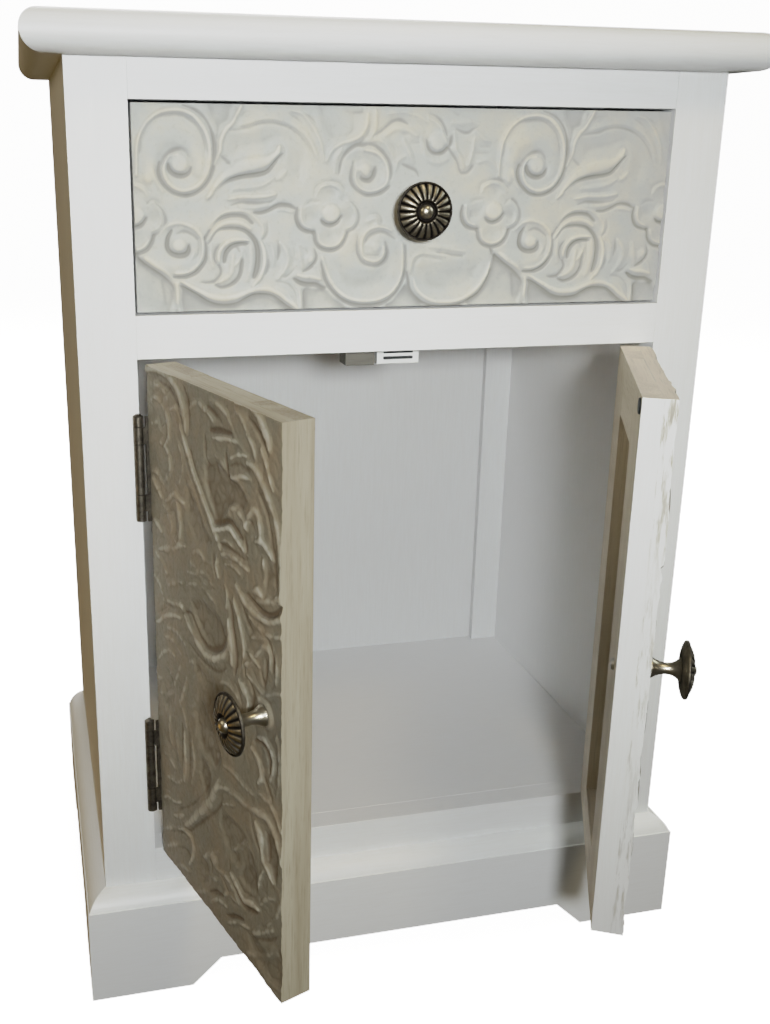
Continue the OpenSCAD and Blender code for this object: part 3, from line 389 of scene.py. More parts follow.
class Carving:
    """A carved face on a grid: its height over the ground, the grime and painted shade in its cuts, and where it
    is plain.
    """

    def __init__(self, low, high, cell, level):
        self.along, self.up = (np.linspace(a, b, int((b - a) / cell) + 1) for a, b in zip(low, high))
        self.height = np.full((len(self.along), len(self.up)), level)
        self.grime_and_shade = np.zeros_like(self.height)
        self.plain = np.zeros_like(self.height)
        self.cell = cell

    def window(self, low, high):
        """The cells between two corners, with their places along and up."""
        cells = (slice(*np.searchsorted(self.along, [low[0], high[0]])),
                 slice(*np.searchsorted(self.up, [low[1], high[1]])))
        return cells, self.along[cells[0], None], self.up[None, cells[1]]

    def track(self, points):
        """The cells near a curve, and their distances from it as shares of half its width."""
        line = spline(points)
        reach = line[:, 2].max() / 2 + self.cell
        cells, along, up = self.window(line[:, :2].min(0) - reach, line[:, :2].max(0) + reach)
        share = np.ones((along.shape[0], up.shape[1]))
        for x, z, width in line:
            rim = max(width, NARROWEST) / 2
            i = np.searchsorted(along[:, 0], [x - rim, x + rim])
            j = np.searchsorted(up[0], [z - rim, z + rim])
            if i[0] < i[1] and j[0] < j[1]:
                part = (slice(*i), slice(*j))
                away = np.hypot(along[part[0]] - x, up[:, part[1]] - z) / rim
                share[part] = np.minimum(share[part], away)
        return cells, share

    def ridge(self, points, rise):
        """Raises a rounded band along a curve."""
        cells, share = self.track(points)
        self.height[cells] += RIDGE_TOP * rise * (1 - share ** 2) ** RIDGE_POWER

    def cut(self, points, depth):
        """Cuts a groove along a curve; the deeper it is, the more grime and painted shade it holds."""
        cells, share = self.track(points)
        self.height[cells] = np.clip(self.height[cells] - depth * (1 - share), 0, None)
        grime_and_shade = min(1.0, depth / FULL_GRIME_AND_SHADE) * (1 - share) ** GRIME_AND_SHADE_POWER
        self.grime_and_shade[cells] = np.maximum(self.grime_and_shade[cells], grime_and_shade)

    def knoll(self, centre, radii, rise):
        """Adds a domed oval, or a dish where rise is negative."""
        cells, along, up = self.window(np.array(centre) - max(radii), np.array(centre) + max(radii))
        aside, above = ((along - centre[0]) / radii[0]) ** 2, ((up - centre[1]) / radii[1]) ** 2
        power = DOME_POWER if rise > 0 else DISH_POWER
        self.height[cells] += rise * np.clip(1 - aside - above, 0, 1) ** power

    def sink(self, outline, depth, reach):
        """Lowers what a closed outline holds, sloping down over reach from its edge."""
        ring = spline([(x, z, 0) for x, z in outline + outline[:1]], 1.0)[:, :2]
        cells, along, up = self.window(ring.min(0), ring.max(0))
        inside = np.zeros((along.shape[0], up.shape[1]), bool)
        gap = np.full(inside.shape, np.inf)
        for (ax, az), (bx, bz) in zip(ring, np.roll(ring, -1, 0)):
            gap = np.minimum(gap, np.hypot(along - ax, up - az))
            if az != bz:
                level = (up > min(az, bz)) & (up <= max(az, bz))
                inside ^= level & (along < ax + (up - az) * (bx - ax) / (bz - az))
        self.height[cells] -= np.where(inside, depth * smoothstep(np.clip(gap / reach, 0, 1)), 0)

    def seat(self, centre):
        """Raises a smooth round seat for a knob, level with the highest relief."""
        cells, along, up = self.window(np.array(centre) - SEAT_FOOT, np.array(centre) + SEAT_FOOT)
        away = np.hypot(along - centre[0], up - centre[1])
        slope = smoothstep(np.clip((SEAT_FOOT - away) / (SEAT_FOOT - SEAT_TOP), 0, 1))
        self.height[cells] += (RELIEF - self.height[cells]) * slope
        self.plain[cells] = slope

    def creased(self, seed, depth):
        """Small winding creases all over, as between the veins of worn leaves, painted darker with grime and
        shade.
        """
        rough = np.random.default_rng(seed).normal(size=self.height.shape)
        wave = self.smoothed(rough, CREASE_FINE) - self.smoothed(rough, CREASE_BROAD)
        crease = np.clip(1 - CREASE_NARROW * np.abs(wave) / wave.std(), 0, 1)
        self.height = self.height - depth * crease + CREASE_SWELL * depth * (1 - crease)
        self.grime_and_shade = np.maximum(self.grime_and_shade, CREASE_GRIME_AND_SHADE * depth * crease)

    def smoothed(self, values, reach):
        """Box blur, run three times so that it is close to a bell curve."""
        n = max(1, int(round(reach / self.cell)))
        for axis in (0, 1) * 3:
            padded = np.pad(values, [(n + 1, n) if a == axis else (0, 0) for a in (0, 1)], "edge")
            total = np.cumsum(padded, axis=axis)
            size = values.shape[axis]
            ahead = np.take(total, np.arange(2 * n + 1, 2 * n + 1 + size), axis)
            behind = np.take(total, np.arange(size), axis)
            values = (ahead - behind) / (2 * n + 1)
        return values

    def finish(self, seed):
        """Eases the tool's edges, adds the hand's unevenness and holds back the highest relief."""
        self.height = (1 - EASED) * self.height + EASED * self.smoothed(self.height, self.cell)
        self.grime_and_shade = self.smoothed(self.grime_and_shade, self.cell)
        rough = np.random.default_rng(seed).normal(size=self.height.shape)
        for reach, share in RIPPLES:
            wave = self.smoothed(rough, reach)
            swell = RIPPLE_LOW + RIPPLE_RISE * self.height / RELIEF
            self.height = self.height + RIPPLE * share * wave / wave.std() * swell
        over = np.clip(self.height - SOFT_TOP, 0, None)
        held = SOFT_REACH * (1 - np.exp(-over / SOFT_REACH))
        self.height = np.clip(np.minimum(self.height, SOFT_TOP) + held, 0, None)

    def shade(self):
        """Painted light and shade, with wear and grime: what stands over its near and far surroundings is lighter,
        cuts darker.
        """
        near, far = self.smoothed(self.height, NEAR), self.smoothed(self.height, FAR)
        tone = NEUTRAL + NEAR_RUB_SHADE * (self.height - near) + FAR_RUB_SHADE * (near - far)
        tone = tone + HIGH_RUB_SHADE * (far - far.mean()) - GRIME_AND_SHADE_WEIGHT * self.grime_and_shade
        return np.clip(tone + (NEUTRAL - tone) * self.plain, 0, 1)


def carved_panel(node, carving, corner, thickness, materials, edges=(1, 1, 1, 1, 1)):
    """A closed slab with the carving on its face.

    corner(along, up, depth) places a point; depth runs in from the plane of the highest relief.
    edges: which of the materials the lower, far, upper and near edges and the back take.
    """
    columns, rows = carving.height.shape
    along, up = np.meshgrid(carving.along, carving.up, indexing="ij")
    face = corner(along, up, np.clip(RELIEF - carving.height, 0, RELIEF)).reshape(-1, 3)
    back = [corner(carving.along[i], carving.up[j], thickness)
            for i, j in ((0, 0), (-1, 0), (-1, -1), (0, -1))]
    index = np.arange(columns * rows).reshape(columns, rows)
    quads = np.stack([index[:-1, :-1], index[1:, :-1], index[1:, 1:], index[:-1, 1:]], -1).reshape(-1, 4)
    base = columns * rows
    faces = quads.tolist()
    for k, rim in enumerate((index[:, 0], index[-1, :], index[::-1, -1], index[0, ::-1])):
        faces.append([base + k, base + (k + 1) % 4] + rim[::-1].tolist())
    faces.append([base + 3, base + 2, base + 1, base])
    start = corner(0.0, 0.0, 0.0)
    across, upward, inward = (corner(*step) - start for step in np.eye(3))
    if np.dot(np.cross(across, upward), inward) > 0:
        faces = [face[::-1] for face in faces]
    # The hollow mark carries shade(): painted light and shade, with wear and grime
    marks = {"lift": np.append(carving.height.ravel() / RELIEF, [BACK_LIFT] * 4),
             "hollow": np.append(carving.shade().ravel(), [NEUTRAL] * 4)}
    mesh = mesh_of(node + "_carved", np.vstack([face, back]), faces, marks)
    slots = np.zeros(len(mesh.polygons), np.int32)
    slots[-5:] = edges
    mesh.polygons.foreach_set("material_index", slots)
    mesh.polygons.foreach_set("use_smooth", slots == 0)
    show(node + "_carving", mesh, materials, node)


def numbers(text):
    return tuple(float(word) for word in text.split())


def curves(text):
    """Reads drawn curves, each written as "amount: along up width, along up width, ...;".

    For a sunk area that is "depth reach: along up, ...;", and a line with # heads a group of curves.
    """
    lines = [line for line in text.splitlines() if not line.startswith("#")]
    rows = [row.split(":") for row in "\n".join(lines).split(";") if row.strip()]
    return [(numbers(head), [numbers(point) for point in points.split(",")]) for head, points in rows]


def shifted(points, x, z):
    return [(p[0] + x, p[1] + z, *p[2:]) for p in points]


# The drawer's curves, from the lower left corner of its opening.
# REPEAT stands twice, a REPEAT_STEP apart; MIDDLE once, round the knob; FLOWER at each flower's centre.

REPEAT_SUNK = curves("""
1.5 1.6: -12 -3, 23 -3, 23 12, 19 19, 14 23, 8 27.5, 3 33, 1 34, 0.6 26, -1 17, -6 9, -13 4;
1.5 1.6: 27 -3, 27 14.5, 31 13.5, 39 8.4, 45 5.4, 57 4.6, 63 6.6, 70 9.6, 77 9.8, 83 7.6, 88 4, 92 -3;
1.5 1.6: 99.5 -3, 99 13, 106 14, 113 13, 117 9, 122 6, 127 2, 128 -3;
1 2.4: 41 121, 44.5 110, 47.5 104, 48.4 97, 50.4 99, 52 104, 56 107, 58 112, 60 121;
0.7 3: 104 121, 108 110, 112 100, 116 97, 123 98, 131 101, 135 108, 135 121;
0.9 9: 52.6 88, 52.8 96, 56 102, 62 103, 70 104.4, 80 106, 88 104.6, 94 101.6, 100 96, 105 88, 104 79,
 100 72, 95 70, 90 74, 88 80, 88.5 92, 84 93, 78 89, 66 87, 58 84;
0.5 3: 62 108, 66 112, 75 112, 90 111, 98 107, 101 103, 92 107, 80 109, 70 107;
""")
REPEAT_RIDGES = curves("""
# volute: rim, left band, broad back, lower edge of the band
1.2: 3.5 78 2, 3.8 88 2.4, 5 97 2.8, 9 104.5 3.2, 14 109.5 3.4, 20 112.3 3.6, 28 113 3.8, 34.5 111 3.8,
 39.5 106.5 3.8, 43 100.5 3.6, 44.8 93 3.6, 44.6 85 3.4, 42 77.5 3.4, 37 72 3.4, 30 69.8 3.4, 24.5 71.2 3,
 20.5 75 2.8, 18.8 80 2.6, 19.6 85 2.6, 22.4 88.6 2.4, 26.5 89.6 2;
0.7: 18 69 2, 14.5 75 3, 12 81 2.6;
0.8: 10 76 7, 11.5 88 11, 15.5 97 13, 24 100 14, 33 96 13, 39 88 11, 38.6 80 8;
# arch: outer rim, right ridge, soft face of the hood
1.1: 47.6 84 1.8, 50.5 91 2.8, 51.2 97 3.4, 54 102.6 3.4, 58 107 3.4, 60.8 111.5 3.2, 63.5 116 2.4;
0.8: 92 113.5 1.8, 98 112 2.6, 103.5 106.5 2.8, 107.4 100 2.8, 110 93 2.4, 111 86 1.4;
0.5: 64 106 4, 75 109.5 6, 88 108.5 6, 98 103 6, 104 96 5, 107 88 4;
# hood leaf and the folds under it
1.4: 43 65.5 2, 49 72.8 6, 55 78.6 9, 63 83 10, 71 84.6 9.4, 78 86.4 7, 83 90 5, 85 94.5 2;
0.6: 83.4 75.6 2, 86.4 78 4.4, 89 80.6 2;
0.6: 58 70.8 2, 67 71.4 3.6, 76 73.4 3.4, 82 77 2;
1: 55 65 2, 63 66.4 3.6, 70 66.4 3.8, 77 66.8 3.4, 82.6 67.8 2;
0.6: 62 60.4 2, 70 60.4 3, 78 61.6 2.4;
0.6: 84 58.8 1.6, 88 59 2.4, 92.6 57.6 2;
# small spiral, its broad stalk and the stem at the left
1: 16 46.4 1.6, 20.6 50.8 3, 27 52 3.4, 33 50.4 3.4, 37.4 47 3.2, 39.8 42.5 2.6, 40 36 2.6, 38.2 30.6 2.6,
 34.6 26.2 2.6, 30 23.8 2.8, 24 23.4 2;
0.7: 8 32 5, 15 29.5 10, 24 27.5 10, 32 29 8, 35 35 5;
0.6: 6.6 33 1.8, 12 28.8 2.6, 17.6 25.2 2.6, 22 21 2;
0.8: 24.6 18 3, 24 10 4.6, 22 2 4.4;
# running vine
1.2: 27 19.4 2, 33 15.6 3.8, 39 12.6 4.4, 45 10 4.8, 52 9 5, 58.6 9.8 4.8, 64.6 12 4.4, 71 13.8 4,
 78 13.8 4, 84.6 11 3.6, 90 6.6 3, 96 2.4 2;
# acanthus scroll, from its rim inwards
0.7: 44.6 48.6 1.2, 48.4 54.6 2, 54 58 2.6, 61 58.4 2.4, 66.6 57.4 2, 70.8 54.6 2.2, 74 50.6 2;
0.8: 42.6 41.6 2, 46.4 47 3.6, 51 50.9 4, 57 52.2 4.2, 63 51.4 4, 67.4 48.6 3.4;
1.2: 73.6 42 2, 75.6 36 3.4, 76 30 3.6, 75 24.6 3.6, 72.4 19.6 3.4, 69 16 2.6;
1.2: 48.8 29 2, 49.2 35 3.4, 52.2 39.6 3.6, 57 42 3.4, 62 42.4 3, 66.4 42 1.8;
0.8: 59 28 2, 61.4 31 2.8, 62.8 35 2;
0.8: 48 18 2, 53 20.4 4, 56.4 24 4, 57 29 3, 57.6 34 2;
0.6: 67.4 40 4, 68 33 5, 67.4 26 4.6, 65.6 19 3;
0.6: 44.6 40 3, 44.4 34 4.4, 45.6 27 3;
# leaves and bud between the scroll and the flower
0.7: 75 51 2, 75.2 47 3.2, 74.6 44 2;
0.6: 76.6 41 2, 80 38.4 3.4, 81.6 33 3, 81 27 2;
0.7: 85.8 40 2, 89 36 4.4, 90 30 4.4, 87.6 24 3, 84 19.6 2.4;
0.7: 84 14.6 2.4, 89 11.6 3.6, 92.8 7 3, 95 2 2;
0.6: 97 12 2, 98 5 3.4, 97.4 -2 2;
0.6: 96.6 38 2, 97.4 31 4, 99 25.6 2;
1: 96 21.8 2, 100 20.8 3.6, 105 20.4 3.6, 109.6 19 2.4;
0.6: 106 27 1.6, 108.4 24.4 2.4, 109.6 21 1.6;
""")
REPEAT_CUTS = curves("""
# volute
1.7: 16.4 85 1.6, 15.8 79.4 2.6, 17.2 75 2.8, 20 71.4 2.8, 24 68.4 2.8, 29 67 2.8, 34 67.4 2.6,
 39.2 70 2.6, 43.4 74.5 2.6, 46.4 81 2.6, 47.4 88 2.6, 47.4 96 2.4, 45.8 103 2, 42.4 108.8 1.8,
 37.4 113 1.6, 30 115.6 1;
0.8: 5.6 90 1.6, 7.4 99.6 2, 11 105.6 2.2, 16 109 2.4, 22 110.2 2.6, 29 110.2 2.6, 35 107.3 2.6,
 39.3 102.8 2.6, 41.8 97 2.2, 42.4 90 1.4;
0.5: 19 103.6 1.2, 24 104.6 2.2, 29 103.2 2.4, 32.5 100.5 2.2, 35.2 96.5 1.2;
1: 17.4 84 1.6, 19.5 87.7 2.8, 23.5 91 2.8, 28 92.6 2.8, 31.4 91.2 2.2, 33.4 88 1.2;
1.8: 21 84.5 1.4, 22 81 3.2, 25 78.4 3.8, 29 77.6 3.8, 32.6 79 2.8, 34.4 82.4 1.2;
0.5: 1 76.6 1.4, 4 76.3 2, 7.4 75 1.2;
0.8: 8.8 62.3 1.8, 11 64.6 3, 14 64.6 3, 16.8 62.4 1.8;
# arch
0.9: 56 106.5 1.6, 58 109.5 2.4, 60 114.6 2.4;
1: 56.6 102.2 1.6, 62 103 2.4, 68 104 2.8, 73 106 3, 80 106.8 3, 87 105.6 3, 93 103 2.8, 98.5 98.4 2.6,
 103 92.5 2.8, 106 86 2;
0.6: 63 110 2, 66 112.6 3, 72 112.8 1.8;
0.6: 90 112 1.4, 94.6 109.6 3, 99 106 1.6;
0.8: 99 112.6 1.4, 103 110.4 2.6, 106.4 106.8 1.8;
0.6: 100.6 106 1.2, 103.6 100 2, 106.4 94.5 1.8, 108.6 90.5 1.2;
0.9: 50.4 89.6 1.6, 53.5 86.8 3, 57.4 83.4 1.8;
0.5: 49 84 1.2, 49 92 2, 49.2 100 1.6;
# hood leaf and folds
2: 47 68.8 1.4, 51 72.6 2.8, 55.5 75.6 3.2, 61 77.2 3.2, 67 78 3.2, 73 78.8 3.2, 77.5 80.2 3,
 80.6 83.2 2.8, 83.7 87.4 2.4, 87 90 1.2;
0.6: 81.6 94 1.2, 85 95.8 2.2, 88 93 2.6, 88.2 88.4 2, 86 85 1.2;
0.5: 80 80 1, 84 75.6 1.6, 86.5 73.4 2, 90 68.6 1.6, 93 66.3 1.2;
0.4: 50 66.4 1.2, 56 70 1.8, 62 73.6 2, 70 74.6 2, 76 74.8 1.2;
0.5: 54 67.6 1.2, 62 69 2, 70 69 2, 78 70 1.4;
1.1: 56.6 61.4 1.4, 62 63 2.4, 68 62.8 2.8, 74 62.6 2.6, 79.5 63.4 2, 83 65.4 1.2;
1.8: 69.6 57.4 1.8, 74 57.4 2.6, 78.6 58.8 2.6, 82.6 60.9 2.8, 86 61.8 3.2, 90.5 61.4 3.2, 94 59.8 2.2;
0.5: 43.2 67 1.2, 44.8 62.4 1.8, 44 58 1;
0.4: 36 63.4 1.2, 39 64 2, 42 66 1.2;
# small spiral and stalk
1.9: 41.2 44 1.4, 42 37 2, 41.4 31.4 2.4, 39 27.2 3, 35.8 24 3.2, 32 22.2 2.8, 27.6 21.3 2.6,
 22.6 21.6 2.2;
1.1: 25 45.8 1.2, 29 47.2 2.6, 33 46 2.8, 36.8 43.2 2.2;
2.2: 22.4 48 1.6, 20.1 43.8 2.6, 19.5 39 3.2, 21.2 35.6 3.4, 24.6 33.9 3.8, 28.6 33.9 3.8, 31.5 35.6 3.2,
 32 39.4 1.6;
0.8: 37.4 43.4 1.6, 37.8 38 2.2, 36.4 33.6 2.4, 34 30.6 1.4;
2.1: 1 35 2, 4.5 30.8 3.2, 8.5 27.6 3.4, 12.5 24.8 3.4, 16.6 21.8 3.2, 20.2 18.4 3.2, 22.6 15 2.6,
 23.2 9 1.4;
0.5: 16 20 1.4, 17.2 13 2.2, 18 6 1.4;
0.9: 26.6 15 1.6, 27 8 2, 26.4 2 1.4;
# vine, lower edge
2.3: 26.4 16.6 1.6, 30 14.7 3, 34.6 12 3.2, 38.6 9.2 3.4, 43 6.4 3.6, 48.5 4.8 3.8, 54 4.6 3.8,
 59.5 5.4 3.6, 64 7.6 3.2, 69.5 10 3, 75.5 10.4 3, 81 9.4 3, 85.6 6.2 2.8, 90 2.8 2.8, 95 0.2 2.6;
0.8: 82.6 17.8 1.4, 88 17.4 2.2, 91.8 15.4 2.6, 94.8 11.4 2.2, 96 6 1.2;
# acanthus scroll
1.8: 41 42.6 1.4, 44 47.2 2.2, 47 51.4 2.4, 50.6 54.2 2.8, 55 55.7 3.2, 60.4 56 3.2, 65 55 3.2,
 69 51.6 2.6;
2.1: 43.6 40 1.2, 45.8 44 1.8, 49 47.6 2, 55 48.8 2.4, 61 48.5 2.8, 65.4 47 3.2, 69 43.8 3.6,
 71.4 39.6 3.8, 72.2 34.6 3.8, 72 29 3.6, 71.2 24.6 3.4, 70 20.8 2.4;
0.9: 78.4 31 1.2, 78.4 26.6 2.4, 76.6 22.2 1.8;
2.1: 52.4 29.6 2.2, 53.2 34.4 3.4, 56.2 38 3.4, 60.4 39.8 2.8, 66.6 40 2.2;
1.6: 51.8 41 1.4, 48.4 37.8 2, 46.8 34 2.4, 47.2 30.4 2.4, 49.6 27.2 2.2, 50.4 24 2.2, 48.8 21 2.4,
 46.4 18.6 2.6, 42.6 18 2.2, 39 18.2 1.4;
1.8: 47 16.6 1.8, 50.4 15.2 2.4, 54 15.8 2.6, 57.4 17.4 3.2, 60.2 20 3.2, 61.9 23.6 3, 62.4 27 2.8,
 62.8 31 2.6;
0.9: 59.2 38.4 1.2, 61 36.6 2.8, 63.4 33.6 1.2;
0.6: 65 38 1.4, 65.6 31 2, 64.6 24 1.4;
0.7: 44.6 29 1.8, 45 24.6 1.4;
# leaves and bud
1: 77.8 52.6 1.2, 77.8 46.6 2.4, 75.4 42.6 2.2, 73.4 42 1.2;
1.1: 84.4 41 1.4, 84.8 36 2.8, 84 30.6 1.4;
0.9: 86 20.8 1.4, 88.6 20.6 2.4, 91.4 22.2 2.2, 94 25 1.4;
0.5: 93.6 39 1.2, 94 33 2, 93 27 1.4;
1.7: 99.4 23.6 1.6, 103 25.6 2.6, 106 28.4 2.6, 107.4 32.4 2.2, 106 37 1.2;
0.7: 100.6 36.4 1.2, 102.4 34.2 2.2, 101.2 29.8 1.4;
2.3: 94 19.4 2, 97.6 17 3.6, 102 15.8 4.2, 107 15.6 4.2, 112.4 13.4 3.6;
0.7: 99.2 14 1.6, 100 6 2.2, 99.4 -1 1.6;
""")
MIDDLE_SUNK = curves("""
1.5 1.6: 150 -3, 150 2.6, 155 6, 160 12, 163 16, 165.6 12, 169 7.4, 174 3.4, 177 -3;
0.9 9: 115 24, 119 14, 126 8.6, 136 7, 147 8, 155 14, 159 24, 158 34, 152 40, 138 26, 124 30, 116 32;
0.9 9: 169 26, 170 14, 178 7, 190 5, 202 7.6, 210 15, 214 25, 214 32, 200 30, 180 29;
0.5 4: 122 83, 125 90, 132 93, 140 92, 147 87, 149 79, 146 72, 138 71, 132 74, 130 83;
""")
MIDDLE_RIDGES = curves("""
# the two great C scrolls
1.1: 110.6 32 1.8, 113.2 24 2.8, 116.4 17 3.2, 120.8 11.8 3.4, 126.4 8 3.4, 133 6 3.4, 141 5.6 3.2,
 148 7 2.8, 153.8 10.4 2.6, 158 15.8 2.4, 160.2 22 2.2, 160.6 30 2, 160 39 1.4;
1.1: 219 33 2, 217 24.6 3.2, 213.4 17.8 3.4, 208.6 11.6 3.4, 202.4 7 3.4, 196 4.6 3.2, 188 4 3.2,
 180 5 2.8, 173.8 8.4 2.6, 169.6 13 2.2, 168 18 1.6;
0.6: 165.4 22 2, 167.2 30 2.4, 172 33.2 2.4, 180 32.6 2.2, 188 31.2 1.6;
0.5: 178 37 3, 190 36 4, 200 34 3;
# spiral beside the knob
0.9: 130.2 85 2, 129.8 79 2.6, 130.6 74.4 2.8, 133.6 71 3, 138.4 69.4 3, 144 70.4 3, 148.4 73.2 3,
 150 78 2.8, 149.4 83.6 2.8, 146.6 88.2 2.8, 142 91.4 2.6, 136 92.4 2;
0.8: 112.6 86 2, 115.6 92 3.2, 121 95.8 3.2, 128 98 3.2, 133 100.6 3, 136.2 105.6 3, 137 112 2.8;
0.5: 118 80 2, 118.4 87 3, 121.6 92.6 2.4;
0.8: 141.8 114 2.4, 141.8 107 3.4, 141 102 2.6, 138.6 98.6 1.6;
0.6: 139 97.2 1.6, 144 98 2.8, 149 95 2.6, 153 88.6 1.6;
0.5: 148 101 4, 154 104.6 5, 161 104 5, 167 101 4;
0.5: 149 112.4 2, 158 113.6 3, 167 111.6 2.6, 174 108 1.6;
0.6: 154.6 81 2, 156 86.6 3, 160 89 2;
0.6: 159 98 3, 163 90 5, 165 85.4 3;
# under the spiral: the curl inside the left C
1: 153.4 46.6 1.4, 147 49 2.6, 140 48 3.2, 135.6 43.6 3, 134.4 37 2.8, 136 31.8 2.8, 140 29.4 2.8,
 145 29.4 2.8, 148.4 33 2.6, 148.4 38 2.4;
0.5: 138 52 3, 143 54 4, 144 50.6 3;
# leaves round the berry
0.7: 174 110.6 2, 180.6 107 3.2, 183.6 101.4 3, 186.8 95.6 2.6;
0.5: 170 100 2, 171.6 94 3.4, 174 88 4, 180 86 5, 186 87.6 4;
0.6: 190.4 103 1.8, 191.4 95 2.6, 195 88 3, 197 82.6 2;
0.7: 203 99 2, 202 91 3, 199.8 84.4 3;
0.5: 188.6 108 3, 195 108 5, 201 108.6 3.6;
0.6: 204 104 2, 209 99 3.4, 213 98 2;
0.5: 206 86 3, 213 87 4, 218 82 3;
""")
MIDDLE_CUTS = curves("""
2: 110.4 29 1.8, 111.6 24 2.4, 113 18.6 2.8, 116 13.4 3.2, 119.6 9.4 3.4, 124.6 5.8 3.4, 130 3.6 3.4,
 137 2.6 3.4, 144 2.8 3.4, 150 4.4 3.2, 155.4 8 2.8, 159.6 13.4 2.6, 162 20 2.4, 162.8 28 2.2,
 162.2 38 1.6;
2: 163.8 22 1.8, 164.8 17 2.4, 165.4 13.2 2.6, 167.6 9.4 2.8, 170.8 6.2 3, 174.8 3.4 3.2, 179.6 1.7 3.2,
 186 1 3.2, 193 1.2 3.2, 200 2.6 3.2, 205 5 3.4, 209.8 8 3.2, 213.2 12 3, 215.6 16.6 2.4, 217.6 23 1.6;
0.7: 168 22 1.4, 168.8 27.6 2.6, 172.6 31 2.6, 178 30.2 2.2, 184.6 29.4 2.2;
1.1: 181.6 33.6 1.6, 188 33 2.2, 193 31.8 2.6, 199 31.4 2.4;
1.4: 120.4 79 1.4, 121.2 84.4 2.4, 123 88.8 3, 126.4 92.6 3.4, 130.6 95.2 3.6, 134.6 95.2 3.8,
 138 95.8 2.6, 142.6 94.6 2.8, 147.2 90.8 3, 150.6 86 3, 152 80.6 2.4, 151.8 76 1.4;
1.4: 129 86 1.6, 127.9 80 2.6, 127.8 75.6 2.8, 129.8 71.8 3, 133.4 68.8 3, 137.6 67.1 3, 142.2 67.4 2.8,
 146.8 68.9 2.8, 151 72 2.2;
1.5: 132.8 80 1.8, 134.4 76.8 3.4, 138 75.4 3.6, 140.8 77.2 3.4, 142 80.4 2.8, 142.6 83 1.4;
0.7: 124 113.6 2, 129 113 3, 134.6 113.2 2;
0.4: 128.8 112 1.6, 128.2 104 1.6, 124 99 1.2;
0.9: 139.4 107 1.6, 137.4 101.8 2.8, 135 98.4 2.8, 133 96.6 2;
1.2: 140.6 100.4 2, 144.6 102.4 2.8, 148.6 105.6 3.2, 152.4 108.6 3.4, 157 109.2 3.2, 161.6 107 2;
0.7: 150 97.6 1.2, 153.2 94.4 2.8, 154.8 91.4 1.6;
0.5: 157.6 101.6 2, 160 101.4 3, 162.4 101.6 2;
0.5: 164.6 96.4 2, 167.4 96.8 3, 170 96.8 2;
0.7: 167.6 107.8 1.8, 171 105.4 2.6, 172.8 102 1.8;
1.1: 158.8 84.6 1.8, 163.4 82.8 2.6, 167.4 81 2.4, 169 78 1.8;
1.1: 156 41.6 1.6, 152 44.2 2.8, 147.4 46 3, 142 45 3, 138.2 42 2.8, 136.8 39 1.6;
1.4: 132.4 44 1.4, 132.2 37 2.6, 133.4 32.2 2.8, 136.4 28 3, 141 26.4 3, 146 26.6 3, 149.8 29.4 2.8,
 151 34 2.6, 149.8 40 2;
1: 136.4 32.6 1.4, 141 32.6 2.4, 146.4 32.4 2.2;
0.5: 137.6 36 2.6, 140.6 36.2 2.6;
0.6: 139 56 1.8, 143.6 57 2.4, 146.6 54.2 2.8, 147 50 2;
1: 174 113.4 1.4, 178.6 111.8 2.8, 181.8 109.2 2.8, 184.4 105.2 2.6, 185.8 101 1.6;
1.4: 173.2 98.6 1.6, 174.8 93.6 2.8, 178 91.2 3, 182.6 91.2 3, 185.6 93.4 2.8, 188.2 97 3, 189 101 1.6;
1.2: 187.4 93.4 1.8, 190.6 89.4 2.8, 193 86 2.8, 194.4 81.8 2.8, 196.4 79.8 3.2, 200 80.4 2.8,
 202.8 84 2.2;
0.4: 191.6 94.4 1.6, 195.6 90.8 2;
1: 191.4 104.8 1.6, 195.4 103 2.8, 199.4 102.8 3, 202 104.8 2.4, 205.4 106.2 1.6;
0.5: 189 114 2, 192.6 112.6 3;
0.5: 202.6 91.6 1.6, 207 91.2 2.4, 213 91.6 1.8;
0.5: 207 95 2, 213.4 95.2 2.4;
0.3: 205.4 19.4 1.6, 209 16.6 1.8;
""")
FLOWER_RIDGES = curves("""
0.7: -17.6 3 1.8, -18 -2 2.6, -16 -6.6 2.6, -11.6 -8.6 1.8;
0.7: -7.4 -12 1.8, -6.6 -16.4 2.6, -2.4 -18.8 2.8, 3 -18.6 2.8, 7.2 -15 2.6, 8.4 -11.6 1.8;
0.6: 10.4 6.6 1.6, 14 3 2.4, 15.2 -2 2.4, 13.6 -6.8 2.4, 9.6 -8.8 1.6;
0.6: -8 11 1.6, -6 14.6 2.4, -0.6 16 2.6, 5.4 14 2.4, 7.6 10.6 1.6;
""")
FLOWER_CUTS = curves("""
1.9: -19.8 3 1.8, -20.4 -2.8 3, -18.4 -7.6 3.2, -15 -9.9 3.2, -10.2 -11 2.6;
1.9: -9.6 -10.6 2.4, -8.8 -16 3, -6 -19.6 3.2, -2 -21.2 3.2, 2.4 -21.2 3.2, 6.8 -19 3.2, 9.4 -15 3,
 10.6 -11.4 2.4;
1.1: 10.6 -11 2.4, 14.6 -9.2 2.8, 17 -5.6 2.8, 17.4 -1.4 2.8, 15.6 3 2.8, 11.8 6.6 2;
0.9: -9.6 10 1.6, -8.8 15 2.2, -4 17.7 2.4, 1 18.2 2.4, 5.8 16.8 2.4, 9.2 13 1.6;
0.8: -15 4.4 1.6, -12 6.6 2.8, -7 6.8 1.8;
0.6: 7.6 6.6 2, 5.4 8.4 2;
0.6: -14.6 0 1.4, -14.8 -4.6 2;
0.6: 6.4 -9.6 1.6, 6.8 -13 1.8;
1.8: -5.4 -4 1.6, -3 -6.2 3.2, 0.6 -6.8 3.6, 4.2 -5.2 3.4, 6.6 -1.6 2;
""")
REPEAT_STEP = 216.0
FLOWERS = ((1.5, 56.4), (115.5, 57), (217.5, 58), (331.5, 57))
